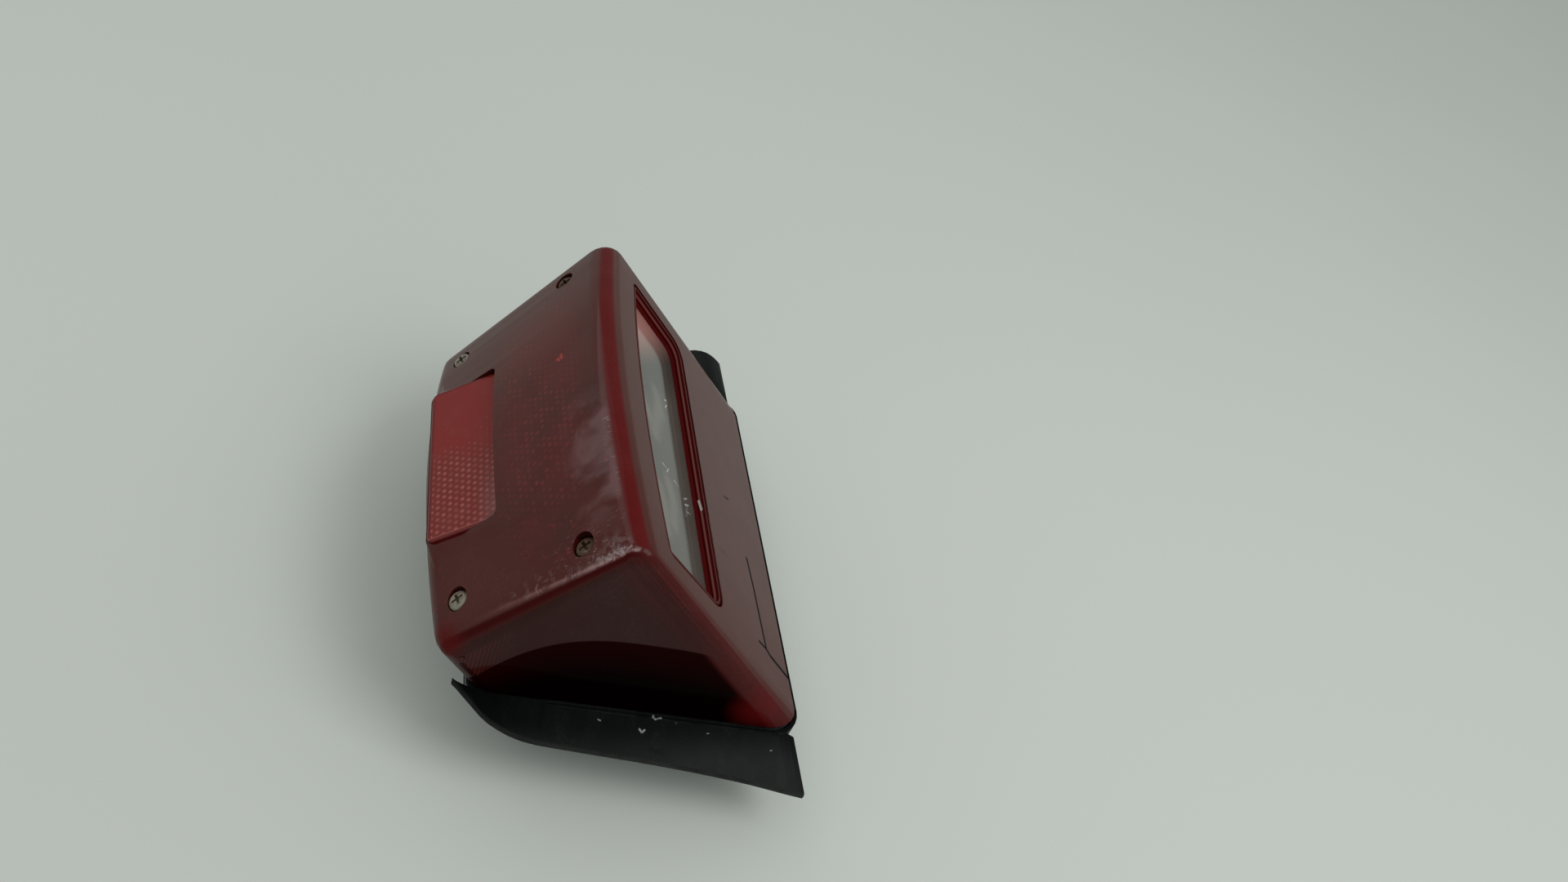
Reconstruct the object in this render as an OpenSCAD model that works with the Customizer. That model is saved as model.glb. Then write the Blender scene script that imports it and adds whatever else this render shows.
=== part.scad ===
// Motorcycle tail light: red lens with a plate window and a reflex reflector, on a rubber pad.
// Origin: centre of the stud circle, on the face of the pad that meets the mudguard.
// +X is the lamp's right, +Y its top edge, where the reflex reflector is, +Z points out of the base.

/* [Lens form] */
// Length of the rim, from the bottom face to the top wall
rim_l = 113.3; // [108:0.1:118]
// Half width of the rim at its bottom end
rim_half_w = 82.6; // [79:0.1:86]
// Loss of half width for each millimetre up the lamp
side_taper = 0.105; // [0.08:0.001:0.12]
// Slope of the bottom face against the mounting plane
bottom_angle = 47.3; // [45:0.1:49]
// Length of the bottom face, from the rim to the flat edge of the rear face
bottom_l = 111; // [108:0.1:113]
// Tilt of the rear face, away from the mounting plane
face_tilt = 52.1; // [50:0.1:54]
// Slope of the top wall against the mounting plane
top_angle = 47.9; // [46:0.1:50]
// Height of the crown across the rear face
crown_h = 8; // [6:0.1:10]
// Wall thickness of the lens
lens_wall = 2.8; // [2.2:0.1:3.2]
// Radius of the edge between the bottom face and the rear face
bottom_edge_r = 7.6; // [6:0.1:9]
// Radius of the edge between the rear face and the top wall
top_edge_r = 6.5; // [6:0.1:8]
// Radius of the side edge, at the bottom end of the rear face
side_edge_r = 4.2; // [4:0.1:5.5]
// Radius of the side edge, at the top end of the rear face
top_side_r = 9; // [7:0.1:10]
// Radius of the side edge at the rim, at its bottom end
rim_side_r = 10; // [8:0.1:12]
// Radius of the side edge at the rim, at its top end
rim_top_r = 4.5; // [4:0.1:6]

/* [Plate window] */
// Half length of the window's border
window_half_l = 65.2; // [62:0.1:67]
// Distance of the border from the rim, up the bottom face
window_low = 54.5; // [52:0.1:58]
// Height of the border at its ends
window_h = 39.5; // [36:0.1:41]
// Bow of the border's upper edge
window_bow = 5.5; // [3:0.1:6]
// Corner radius of the border at its lower edge
window_low_r = 8; // [6:0.1:10]
// Corner radius of the border at its upper edge
window_top_r = 3.2; // [3:0.1:5]
// Depth of the border's outer step
border_step = 1; // [0.6:0.1:1.4]
// Height of the bead above the floor of the step
bead_h = 0.65; // [0.3:0.05:0.9]
// Width of the step outside the bead
step_w = 1.1; // [0.8:0.1:1.3]
// Width of the bead
bead_w = 1.1; // [0.8:0.1:1.4]
// Depth of the clear window below the bottom face
window_depth = 4.5; // [4:0.1:5]
// Thickness of the clear window
window_t = 2; // [1.6:0.1:2.4]
// Width of the ledge that the clear window is welded to
window_ledge = 1; // [0.8:0.1:1.2]
// Wall of the collar outside the clear window
collar_w = 1.9; // [1.6:0.1:2.4]

/* [Reflex reflector] */
// Length of the reflector, across the lamp
reflex_l = 68.7; // [64:0.1:70]
// Width of the reflector
reflex_w = 26.2; // [24:0.1:27]
// Thickness of the reflector
reflex_t = 3.5; // [3:0.1:4]
// Corner radius of the reflector
reflex_r = 2.6; // [2:0.1:3]
// Distance of its lower edge from the top end of the rear face
reflex_in = 32.8; // [31:0.1:34]
// Height of its lower edge above the uncrowned rear face
reflex_h = 3.6; // [3.2:0.1:4.2]
// Angle between the reflector and the rear face
reflex_angle = 13.9; // [12:0.1:15]
// Bevel of the reflector's outer edge
reflex_bevel = 0.4; // [0.2:0.1:0.6]
// Ledge of the plinth beside the reflector
plinth_ledge = 0.9; // [0.6:0.1:1.2]
// Depth of the plinth's ledge below the face of the reflector
ledge_drop = 1.2; // [0.8:0.1:1.6]
// Spread of the plinth's foot beyond its ledge
plinth_spread = 8; // [6:0.1:9]
// Depth of the plinth's foot below its ledge
plinth_foot = 5.5; // [5:0.1:6.5]

/* [Lens screws] */
// Distance of the lower screws from the side edges
low_screw_edge = 11.1; // [10:0.1:13]
// Distance of the lower screws up the rear face
low_screw_up = 21.1; // [19:0.1:23]
// Distance of the upper screws from the side edges
top_screw_edge = 14.5; // [13:0.1:16]
// Distance of the upper screws from the top end of the rear face
top_screw_in = 13.2; // [12:0.1:15]
// Tilt of the screws, away from the lamp's axis
screw_tilt = 42; // [40:0.5:44]
// Diameter of the counterbore
seat_d = 7.8; // [7.6:0.1:8.4]
// Depth of the seat below the rear face
seat_depth = 4.5; // [4:0.1:5]
// Length of the lens boss below the seat
boss_l = 12; // [10:0.1:14]
// Diameter of the lens boss
boss_d = 11.6; // [11:0.1:13]
// Screw thread diameter
screw_d = 4; // [3.5:0.1:4.2]
// Room around the thread in the lens
screw_room = 0.6; // [0.4:0.1:0.8]
// Screw length under the head
screw_l = 23; // [20:0.5:26]
// Head diameter
head_d = 7; // [6.6:0.1:7.2]
// Head height
head_h = 2.4; // [2.2:0.1:2.6]
// Thickness of the seal washer
seal_t = 0.8; // [0.5:0.1:1]

/* [Housing] */
// Thickness of the housing's flange and floor
flange_t = 3; // [2.5:0.1:3.5]
// Corner radius of the flange
flange_r = 9; // [7:0.1:10]
// Thickness of the gasket
gasket_t = 1.5; // [1:0.1:2]
// Height of the locating rib inside the lens
rib_h = 5; // [4:0.1:6]
// Thickness of the locating rib
rib_t = 2; // [1.6:0.1:2.4]
// Diameter of the pillars at the lens boss
pillar_d = 10; // [9:0.1:11]
// Growth of a pillar's diameter down to the floor
pillar_draft = 2; // [1:0.1:2.5]
// Gap between the locating rib and the lens
rib_gap = 0.5; // [0.3:0.1:0.8]
// Diameter of the posts that carry the inner reflector
post_d = 8; // [7:0.1:9]
// Distance of the lower post from the line of the bulbs
post_below = 26; // [24:0.5:28]
// Distance of the upper post from the line of the bulbs
post_above = 8; // [6:0.5:10]
// Thread diameter of the screws in the posts
post_screw_d = 3; // [2.5:0.1:3.5]
// Length of the screws in the posts
post_screw_l = 9; // [8:0.5:10]
// Head diameter of the screws in the posts
post_head_d = 5.6; // [5:0.1:6]
// Head height of the screws in the posts
post_head_h = 2; // [1.6:0.1:2.2]
// Depth of the holes in the posts
post_hole = 12; // [10:0.5:13]

/* [Bulbs and sockets] */
// Half distance between the bulbs
bulb_x = 34; // [33:0.1:36]
// Distance of the bulbs from the bottom end of the rim
bulb_y = 70; // [69:0.1:72]
// Diameter of the bulb's ball
bulb_d = 25; // [22:0.1:26]
// Length of the bulb from its contacts to its tip
bulb_l = 51; // [48:0.1:53]
// Diameter of the bulb cap
cap_d = 15; // [14.8:0.1:15.2]
// Length of the bulb cap
cap_l = 17; // [16:0.1:18]
// Diameter of the bulb cap's two pins
pin_d = 2; // [1.8:0.1:2.2]
// Wall of the bulb's glass
glass_wall = 0.8; // [0.6:0.1:1]
// Diameter of the glass stem in the bulb
stem_d = 6.5; // [6:0.1:7]
// Wall of the socket shell
shell_wall = 0.8; // [0.6:0.1:1]
// Reach of the socket shell below the housing
shell_drop = 17.5; // [16:0.1:19]
// Flange diameter of the socket shell
shell_flange_d = 24; // [23:0.1:25]
// Wall of the rubber boot
boot_wall = 2.4; // [2:0.1:2.8]
// Bore of the wire inlet
inlet_d = 6.4; // [6:0.1:6.8]
// Length of the wire inlet
inlet_l = 6; // [5:0.1:8]

/* [Inner reflector] */
// Height of the reflector plate above the rim
plate_up = 22; // [20:0.1:23]
// Thickness of the reflector sheet
sheet_t = 1.2; // [1:0.1:1.5]
// Mouth radius of a dish
dish_r = 26; // [24:0.1:27]
// Floor radius of a dish
dish_floor_r = 16; // [15:0.1:17]
// Lower end of the plate, from the bottom end of the rim
plate_low = 31; // [30:0.1:34]
// Upper end of the plate, from the top end of the rim
plate_in = 10.3; // [9:0.1:13]
// Gap between the plate and the side walls of the lens
plate_gap = 1.5; // [1:0.1:2]
// Corner radius of the plate
plate_r = 8; // [6:0.5:10]

/* [Rubber pad] */
// Thickness of the pad
pad_t = 2.5; // [2.4:0.1:4]
// Thickness of the pad's wall around the rim
pad_wall = 1.2; // [0.9:0.1:2]
// Thickness of the wings
wing_t = 3.2; // [2.6:0.1:4]
// Depth of a wing's free edge below the rim, at the bottom end
wing_drop = 10; // [8:0.5:10]
// Length over which a wing's free corner hangs
wing_hang_l = 21; // [14:1:30]
// Reach of the left wing beyond the rim, at the bottom end
left_reach = 18.2; // [17:0.1:22]
// Distance of the left wing's free corner past the pad's end
left_past = 2.5; // [-1:0.5:4]
// Depth by which the left wing's free corner hangs
left_hang = 0.5; // [0:0.5:6]
// Reach of the right wing beyond the rim, at the bottom end
right_reach = 22; // [19:0.1:24]
// Distance of the right wing's free corner short of the pad's end
right_short = 3.5; // [0:0.5:5]
// Height to which the right wing is bent up
right_lift = 27; // [0:0.5:28]
// Depth by which the right wing's free corner hangs below the rest of its bent edge
right_hang = 15; // [0:0.5:16]

/* [Studs] */
// Diameter of the stud circle
stud_circle = 76; // [74:0.1:78]
// Distance of the circle's centre from the bottom end of the rim
stud_centre = 57; // [55:0.1:58]
// Diameter of the studs
stud_d = 6; // [5:0.1:6]
// Diameter of the studs inside the lamp, where the nuts hold them
stud_shank_d = 6.4; // [6:0.1:7]
// Reach of the studs below the pad
stud_reach = 22; // [18:0.5:25]
// Diameter of the stud heads
stud_head_d = 13; // [12:0.1:14]
// Thickness of the stud heads
stud_head_t = 2.5; // [2:0.1:3]
// Height of the bosses under the stud heads
stud_boss_h = 2; // [1.5:0.1:3]
// Thickness of the stud nuts
nut_t = 2.4; // [2:0.1:2.4]
// Width of the stud nuts across their corners
nut_corners = 11.5; // [11:0.1:12]

/* [Hidden] */

// Overlap of cutting tools and of parts of one moulding
cut = 1;
// Thickness of the layers that a hull is drawn between
film = 0.01;
// Running gap of pieces that slip into each other
slip = 0.1;
// Gap between pieces that lie side by side
gap = 0.2;
// Least radius of an inner corner
least_r = 1;
// Facets of bores and turned pieces, and of thin pins and wires
round_fn = 48;
pin_fn = 24;
// Depth to which the walls run below the rim before they are trimmed
skirt = 14;
// Steps across the crown, around an edge and around a side edge
crown_steps = 18;
edge_steps = 6;
side_steps = 5;

// Place of the rim in the row frame
rim_y = -stud_centre;
rim_z = pad_t + flange_t + gasket_t;
floor_z = -gasket_t;
under_z = -gasket_t - flange_t;

// Outward normals of the three long walls, in the plane along the lamp
bottom_n = [-sin(bottom_angle), cos(bottom_angle)];
face_n = [sin(face_tilt), cos(face_tilt)];
top_n = [sin(top_angle), -cos(top_angle)];
// Flat corner between the bottom face and the rear face, before the crown is added
face_low = bottom_l * [cos(bottom_angle), sin(bottom_angle)];
// Distances of the three walls from the bottom end of the rim
face_d = face_n * face_low;
top_d = rim_l * sin(top_angle);

// Half width of the lens at a distance up the lamp
function half_w(y) = rim_half_w - side_taper * y;
// Height of the crown at a distance from the middle
function crown(x) = crown_h * (1 - pow(x / half_w(face_low[0]), 2));
// Point where two walls meet, each given by its normal and its distance
function meet(n1, d1, n2, d2) =
  [d1 * n2[1] - d2 * n1[1], n1[0] * d2 - n2[0] * d1] / (n1[0] * n2[1] - n2[0] * n1[1]);
function turn(a) = [cos(a), sin(a)];
function angle_of(v) = atan2(v[1], v[0]);
function blend(a, b, t) = a + (b - a) * t;
function unit(v) = v / norm(v);

// Length of the flat rear face, between its corners with the bottom face and the top wall
face_l = norm(meet(face_n, face_d, top_n, top_d) - face_low);

// Points of the lens section around one edge, each with its outward normal and its side radius
function arc_points(n1, d1, n2, d2, r, side_r, inset) =
  let (c = meet(n1, d1 - r, n2, d2 - r))
  [for (i = [0:edge_steps])
    let (n = turn(blend(angle_of(n1), angle_of(n2), i / edge_steps)))
    [c + (r - inset) * n, n, side_r]];

// The lens section with the rear face standing c proud of its flat place
function section(c, inset) = concat(
  [[[-skirt / tan(bottom_angle), -skirt] - inset * bottom_n, bottom_n, rim_side_r]],
  arc_points(bottom_n, 0, face_n, face_d + c, bottom_edge_r, side_edge_r, inset),
  arc_points(face_n, face_d + c, top_n, top_d, top_edge_r, top_side_r, inset),
  [[[rim_l - skirt / tan(top_angle), -skirt] - inset * top_n, top_n, rim_top_r]]);

// One ring of the lens: share is the place across the crown, roll the angle around the side edge
function ring(share, roll, side, inset) =
  let (x0 = half_w(face_low[0]) - side_edge_r)
  [for (p = section(crown(side * (share * x0 + side_edge_r * sin(roll))), inset))
    let (r = max(p[2] - inset, least_r), q = p[0] - r * (1 - cos(roll)) * p[1], w = half_w(q[0]) - inset)
    [side * (share * (w - r) + r * sin(roll)), q[0], q[1]]];

// Skin of a stack of equal rings, closed at both ends
module skin(rings) {
  count = len(rings[0]);
  last = len(rings) - 1;
  points = [for (r = rings) each r];
  sides = [for (i = [0:last - 1], j = [0:count - 1])
    let (a = i * count + j, b = i * count + (j + 1) % count)
    each [[a, a + count, b], [b, a + count, b + count]]];
  start = [for (j = [0:count - 1]) j];
  end = [for (j = [count - 1:-1:0]) last * count + j];
  polyhedron(points, concat([start], sides, [end]), convexity = 6);
}

// Closed form of the lens, drawn in by an even wall
module lens_form(inset = 0) {
  rolls = [for (i = [side_steps:-1:1]) 90 * i / side_steps];
  skin(concat(
    [for (a = rolls) ring(1, a, 1, inset)],
    [for (i = [-crown_steps:2:crown_steps]) ring(abs(i) / crown_steps, 0, i > 0 ? -1 : 1, inset)],
    [for (i = [side_steps - 1:-1:0]) ring(1, rolls[i], -1, inset)]));
}

// Places on the lamp
module at_rim() {
  translate([0, rim_y, rim_z]) children();
}
module on_bottom() {
  at_rim() rotate([bottom_angle, 0, 0]) children();
}
module on_face(up) {
  at_rim() translate([0, face_low[0], face_low[1]])
    rotate([-face_tilt, 0, 0]) translate([0, up, 0]) children();
}
module on_reflex() {
  on_face(face_l - reflex_in) translate([0, 0, reflex_h]) rotate([reflex_angle, 0, 0]) children();
}

// Screw places: distance from the middle and distance up the rear face
function screw_place(up, edge) = [half_w(face_low[0] + up * cos(face_tilt)) - edge, up];
low_screw = screw_place(low_screw_up, low_screw_edge);
top_screw = screw_place(face_l - top_screw_in, top_screw_edge);
// Height of a screw's seat above the uncrowned rear face, along the screw
function seat_h(s) = crown(s[0]) / cos(face_tilt - screw_tilt) - seat_depth;
// Distance from the seat down the screw's line to the housing floor
function seat_reach(s) =
  (face_low[1] - s[1] * sin(face_tilt) - floor_z) / cos(screw_tilt) + seat_h(s);

// Origin at the seat, +Z along the screw, out of the lamp
module at_screw(s) {
  for (side = [-1, 1])
    on_face(s[1]) translate([side * s[0], 0, 0]) rotate([face_tilt - screw_tilt, 0, 0])
      translate([0, 0, seat_h(s)]) children();
}

// Outline with round corners, from corner points and their radii
function corner(a, p, b, r) =
  let (u = unit(a - p), v = unit(b - p), half = acos(u * v) / 2, c = p + unit(u + v) * r / sin(half),
    a0 = angle_of(p + u * r / tan(half) - c), a1 = angle_of(p + v * r / tan(half) - c),
    sweep = (a1 - a0 + 540) % 360 - 180)
  [for (i = [0:edge_steps]) c + r * turn(a0 + sweep * i / edge_steps)];
function rounded(pts, radii) =
  let (n = len(pts))
  [for (i = [0:n - 1]) each corner(pts[(i + n - 1) % n], pts[i], pts[(i + 1) % n], radii[i])];
function box_outline(x, y0, y1, r) =
  rounded([[-x, y0], [x, y0], [x, y1], [-x, y1]], [r, r, r, r]);
// Outline of the rim, drawn in by its own amount at the bottom, the sides and the top
function rim_outline(low, side, top, low_r, top_r) =
  let (w0 = half_w(low) - side, w1 = half_w(rim_l - top) - side)
  rounded([[-w0, low], [w0, low], [w1, rim_l - top], [-w1, rim_l - top]], [low_r, low_r, top_r, top_r]);

// Outline of the window's border, drawn in
function bow_at(x, inset) =
  window_low + window_h + window_bow * (1 - pow(x / window_half_l, 2)) - inset;
function arc(centre, r, start, sweep) =
  [for (i = [0:edge_steps]) centre + r * turn(start + sweep * i / edge_steps)];
function window_outline(inset) =
  let (half = window_half_l - inset, low_r = window_low_r - inset, top_r = window_top_r - inset,
    bow_n = 8, low_x = half - low_r, low_y = window_low + inset + low_r,
    top_x = half - top_r, top_y = bow_at(top_x, inset) - top_r,
    lean = atan(2 * window_bow * top_x / pow(window_half_l, 2)))
  concat(arc([low_x, low_y], low_r, -90, 90), arc([top_x, top_y], top_r, 0, 90 - lean),
    [for (i = [bow_n - 1:-1:1 - bow_n]) let (x = top_x * i / bow_n) [x, bow_at(x, inset)]],
    arc([-top_x, top_y], top_r, 90 + lean, 90 - lean), arc([-low_x, low_y], low_r, 180, 90));

// Upright slab of an outline between two heights
module slab(outline, z0, z1) {
  translate([0, 0, z0]) linear_extrude(z1 - z0) polygon(outline);
}
// Round bar from a height up
module bar(d, z0, h, fn = round_fn) {
  translate([0, 0, z0]) cylinder(d = d, h = h, $fn = fn);
}

// Raised plinth of the reflex reflector, drawn in
module plinth(inset = 0) {
  ledge = plinth_ledge + slip - inset;
  ledge_z = -ledge_drop - inset;
  foot_z = ledge_z - plinth_foot;
  half = reflex_l / 2 + ledge;
  r = reflex_r + plinth_ledge;
  hull() {
    slab(box_outline(half, 0, reflex_w + ledge, r), ledge_z - film, ledge_z);
    slab(box_outline(half + plinth_spread, 0, reflex_w + ledge, r), foot_z - film, foot_z);
  }
}

// Crack in the bottom face: place across and up the bottom face of each bend
crack_main = [[-20, 21.5], [-33, 20], [-58.5, 18.7], [-59.8, 15.5], [-61, -4]];
crack_branch = [[-58.5, 18.7], [-58.7, 25]];
crack_w = 0.5;
crack_depth = lens_wall * 3;
module crack_line(pts) {
  for (i = [0:len(pts) - 2]) {
    way = pts[i + 1] - pts[i];
    translate([pts[i][0], pts[i][1], -crack_depth]) rotate([0, 0, angle_of(way)])
      translate([-crack_w / 2, -crack_w / 2, 0]) cube([norm(way) + crack_w, crack_w, crack_depth + cut]);
  }
}

// Wall of the lens with its plinth, before anything is cut
module lens_shell() {
  difference() {
    union() {
      at_rim() lens_form();
      on_reflex() plinth();
    }
    at_rim() lens_form(lens_wall);
    on_reflex() plinth(lens_wall);
  }
}
// Places of the window's steps, from its outline inwards
opening_in = step_w + bead_w;
rebate_in = opening_in - window_ledge;
collar_end = window_depth + window_t;
// Collar around the window and bosses for the screws, inside the lens
module lens_collar_and_bosses() {
  intersection() {
    at_rim() lens_form(border_step);
    union() {
      on_bottom() slab(window_outline(rebate_in - collar_w), -collar_end, 0);
      at_screw(low_screw) bar(boss_d, -boss_l, boss_l + seat_depth);
      at_screw(top_screw) bar(boss_d, -boss_l, boss_l + seat_depth);
    }
  }
}
// Tray behind the reflector
module lens_tray() {
  wall = plinth_ledge + slip;
  intersection() {
    union() {
      at_rim() lens_form();
      on_reflex() plinth();
    }
    on_reflex() slab(box_outline(reflex_l / 2 + wall, -wall, reflex_w + wall, reflex_r),
      -reflex_t - lens_wall, reflex_t);
  }
}
// Window opening with its step and its bead
module window_cuts() {
  on_bottom() {
    slab(window_outline(opening_in), -collar_end - cut, cut);
    slab(window_outline(rebate_in), -collar_end - cut, -window_depth);
    difference() {
      slab(window_outline(0), -border_step, cut);
      slab(window_outline(step_w), -border_step - cut, bead_h - border_step);
    }
  }
}
// Everything below the rim
module below_rim() {
  half = rim_half_w + skirt;
  at_rim() translate([-half, -2 * skirt, -2 * skirt]) cube([2 * half, rim_l + 4 * skirt, 2 * skirt]);
}

// Red lens
module lens() {
  color([0.55, 0.05, 0.07]) difference() {
    union() {
      lens_shell();
      lens_collar_and_bosses();
      lens_tray();
    }
    below_rim();
    window_cuts();
    on_reflex() slab(box_outline(reflex_l / 2 + slip, -slip, reflex_w + slip, reflex_r),
      -reflex_t, 3 * reflex_t);
    for (s = [low_screw, top_screw]) at_screw(s) {
      bar(seat_d, 0, 4 * seat_depth);
      bar(screw_d + screw_room, -boss_l - cut, boss_l + 2 * cut);
    }
    on_bottom() crack_line(crack_main);
    on_bottom() crack_line(crack_branch);
  }
}

// Clear window, welded to the ledge of the lens collar
module plate_window() {
  color([0.85, 0.88, 0.88, 0.4]) on_bottom()
    slab(window_outline(rebate_in + slip), -collar_end, -window_depth);
}

// Red prism plate
module reflex_reflector() {
  edge = reflex_bevel;
  color([0.75, 0.08, 0.08]) on_reflex() hull() {
    slab(box_outline(reflex_l / 2, 0, reflex_w, reflex_r), -reflex_t, -edge);
    slab(box_outline(reflex_l / 2 - edge, edge, reflex_w - edge, reflex_r - edge), -reflex_t, 0);
  }
}

// Thickness of the lens wall measured along the rim plane
wall_low = lens_wall / sin(bottom_angle);
wall_top = lens_wall / sin(top_angle);
// Distance of the gasket's outer edge from the edge of the rim
gasket_in = 0.5;

// Rubber ring between the lens rim and the housing flange
module lens_gasket() {
  color([0.12, 0.12, 0.12]) at_rim() difference() {
    slab(rim_outline(gasket_in, gasket_in, gasket_in, rim_side_r, rim_top_r), floor_z, 0);
    slab(rim_outline(wall_low, lens_wall, wall_top, rim_side_r - lens_wall, rim_top_r - lens_wall),
      floor_z - cut, cut);
  }
}

// Stud places around the circle
module at_studs() {
  for (i = [0:2]) rotate([0, 0, 90 + 120 * i]) translate([stud_circle / 2, 0, 0]) children();
}
// Posts of the inner reflector, between the two dishes
module at_posts() {
  for (y = [bulb_y - post_below, bulb_y + post_above]) at_rim() translate([0, y, 0]) children();
}
module at_bulbs() {
  for (side = [-1, 1]) at_rim() translate([side * bulb_x, bulb_y, 0]) children();
}
// Room around the bulb cap in its socket shell, and the shell's diameter
cap_room = 0.6;
shell_d = cap_d + cap_room + 2 * shell_wall;
// Wall of the bosses around the stud heads, and depth of the pillar holes past the screws
stud_boss_w = 1.5;
screw_hole = 2;

// Flange, locating rib, pillars, posts and bosses
module housing_body() {
  rib_side = lens_wall + rib_gap;
  rib_low = wall_low + rib_h / tan(bottom_angle) + 2 * rib_gap;
  rib_top = wall_top + rib_gap;
  inner_r = flange_r - rib_t;
  at_rim() slab(rim_outline(gap, gap, gap, flange_r, rim_top_r), under_z, floor_z);
  at_rim() difference() {
    slab(rim_outline(rib_low, rib_side, rib_top, flange_r, flange_r), under_z, rib_h + floor_z);
    slab(rim_outline(rib_low + rib_t, rib_side + rib_t, rib_top + rib_t, inner_r, inner_r),
      floor_z, rib_h + cut);
  }
  for (s = [low_screw, top_screw]) {
    foot = seat_reach(s) + pillar_d;
    at_screw(s) translate([0, 0, -foot])
      cylinder(d1 = pillar_d + pillar_draft, d2 = pillar_d, h = foot - boss_l, $fn = round_fn);
  }
  at_posts() bar(post_d, under_z, plate_up - sheet_t - under_z);
  at_studs() bar(stud_head_d + 2 * stud_boss_w, pad_t, flange_t + stud_boss_h);
}
// Black base with four pillars for the lens screws and two posts for the inner reflector
module housing() {
  color([0.1, 0.1, 0.11]) difference() {
    housing_body();
    at_rim() translate([-rim_half_w, -cut, under_z - 2 * skirt])
      cube([2 * rim_half_w, rim_l + 2 * cut, 2 * skirt]);
    at_bulbs() bar(shell_d + 2 * slip, under_z - cut, flange_t + 2 * cut);
    at_studs() bar(stud_shank_d + 2 * slip, 0, pad_t + flange_t + stud_boss_h + cut);
    for (s = [low_screw, top_screw])
      at_screw(s) bar(screw_d + slip, -screw_l - screw_hole, screw_l);
    at_posts() bar(post_screw_d + slip, plate_up - sheet_t - post_hole, post_hole + cut);
  }
}

// Course of the dishes: a parabola from their floor to their mouth
dish_depth = plate_up - floor_z;
dish_rise = (dish_r * dish_r - dish_floor_r * dish_floor_r) / (dish_depth - sheet_t);
function dish_z(r) = floor_z + sheet_t + (r * r - dish_floor_r * dish_floor_r) / dish_rise;
dish_steps = 10;
dish_fn = 72;
// One dish, filled: wider and lower by the sheet for its outside, and open above for its inside
module dish(wall, drop, top) {
  course = [for (i = [0:dish_steps]) let (r = blend(dish_floor_r, dish_r, i / dish_steps))
    [r + wall, dish_z(r) - drop]];
  rotate_extrude($fn = dish_fn)
    polygon(concat([[0, dish_z(dish_floor_r) - drop]], course, [[0, top]]));
}
// Play of the reflector around the pillars, the sockets and its own screws
plate_play = 2;
socket_play = 1;
post_play = 0.4;

// Bright sheet with two dishes
module inner_reflector() {
  // Distance along the lamp at which the lower pillars pass the plate
  pillar_y = face_low[0] + low_screw_up * cos(face_tilt)
    - (face_low[1] - low_screw_up * sin(face_tilt) - plate_up) * tan(screw_tilt);
  pillar_r = (pillar_d + pillar_draft) / 2 / cos(screw_tilt) + plate_play;
  notch_x = low_screw[0] - pillar_d;
  color([0.82, 0.82, 0.8]) difference() {
    union() {
      at_rim() slab(rim_outline(plate_low, lens_wall + plate_gap, plate_in, plate_r, plate_r),
        plate_up - sheet_t, plate_up);
      at_bulbs() dish(sheet_t, sheet_t, plate_up - sheet_t);
    }
    at_bulbs() dish(0, 0, plate_up + cut);
    at_bulbs() bar(shell_flange_d + 2 * socket_play, floor_z - cut, dish_depth);
    for (side = [0, 1]) mirror([side, 0, 0])
      at_rim() translate([notch_x, pillar_y - pillar_r, plate_up - sheet_t - cut])
        cube([rim_half_w - notch_x, 2 * pillar_r, sheet_t + 2 * cut]);
    at_posts() bar(post_screw_d + post_play, plate_up - sheet_t - cut, sheet_t + 2 * cut);
  }
}

// Screw with a low round head and a cross recess, seated at z = 0
module cross_screw(d, l, head, high) {
  slot_w = 0.14 * head;
  slot_l = 0.6 * head;
  slot_z = 0.35 * high;
  slot_turn = 20;
  // Half outline of the head, as shares of its radius and its height
  dome = [[0, 0], [1, 0], [1, 0.5], [0.92, 0.75], [0.72, 0.94], [0.4, 1], [0, 1]];
  difference() {
    union() {
      bar(d, -l, l + slip);
      rotate_extrude($fn = round_fn) polygon([for (p = dome) [p[0] * head / 2, p[1] * high]]);
    }
    for (a = [0, 90]) rotate([0, 0, a + slot_turn])
      translate([-slot_l / 2, -slot_w / 2, slot_z]) cube([slot_l, slot_w, high]);
  }
}
module lens_screws(s) {
  color([0.36, 0.27, 0.2]) at_screw(s) translate([0, 0, seal_t])
    cross_screw(screw_d, screw_l, head_d, head_h);
}
module reflector_screws() {
  color([0.6, 0.6, 0.58]) at_posts() translate([0, 0, plate_up])
    cross_screw(post_screw_d, post_screw_l, post_head_d, post_head_h);
}
module screw_seals() {
  color([0.15, 0.08, 0.07]) for (s = [low_screw, top_screw]) at_screw(s) difference() {
    bar(seat_d - 2 * gap, 0, seal_t);
    bar(screw_d + gap, -cut, seal_t + 2 * cut);
  }
}

// Stations along a wing of the pad. Shares of the rim's length, of the wing's reach and of its drop:
// [place along, height of the root, reach, height of the free edge, underside of the root]
wing_stations = [
  [0, -0.5, 1, -1, -0.67], [0.05, -0.2, 0.98, -0.95, -0.67], [0.1, -0.1, 0.95, -0.9, -0.67],
  [0.22, -0.1, 0.875, -0.8, -0.67], [0.44, -0.1, 0.807, -0.6, -0.67], [0.7, -0.1, 0.74, -0.5, -0.67],
  [0.84, 0, 0.73, -0.28, -0.67], [0.935, 0, 0.59, 0.08, -0.6], [0.994, 0.14, 0.34, 0.42, -0.34],
  [1.03, 0.34, 0.13, 0.6, 0.02], [1.045, 0.48, 0.04, 0.66, 0.26]];
wing_steps = 3;
// Share of a wing's thickness that its free edge is rounded by
wing_round = 0.3;
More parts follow.
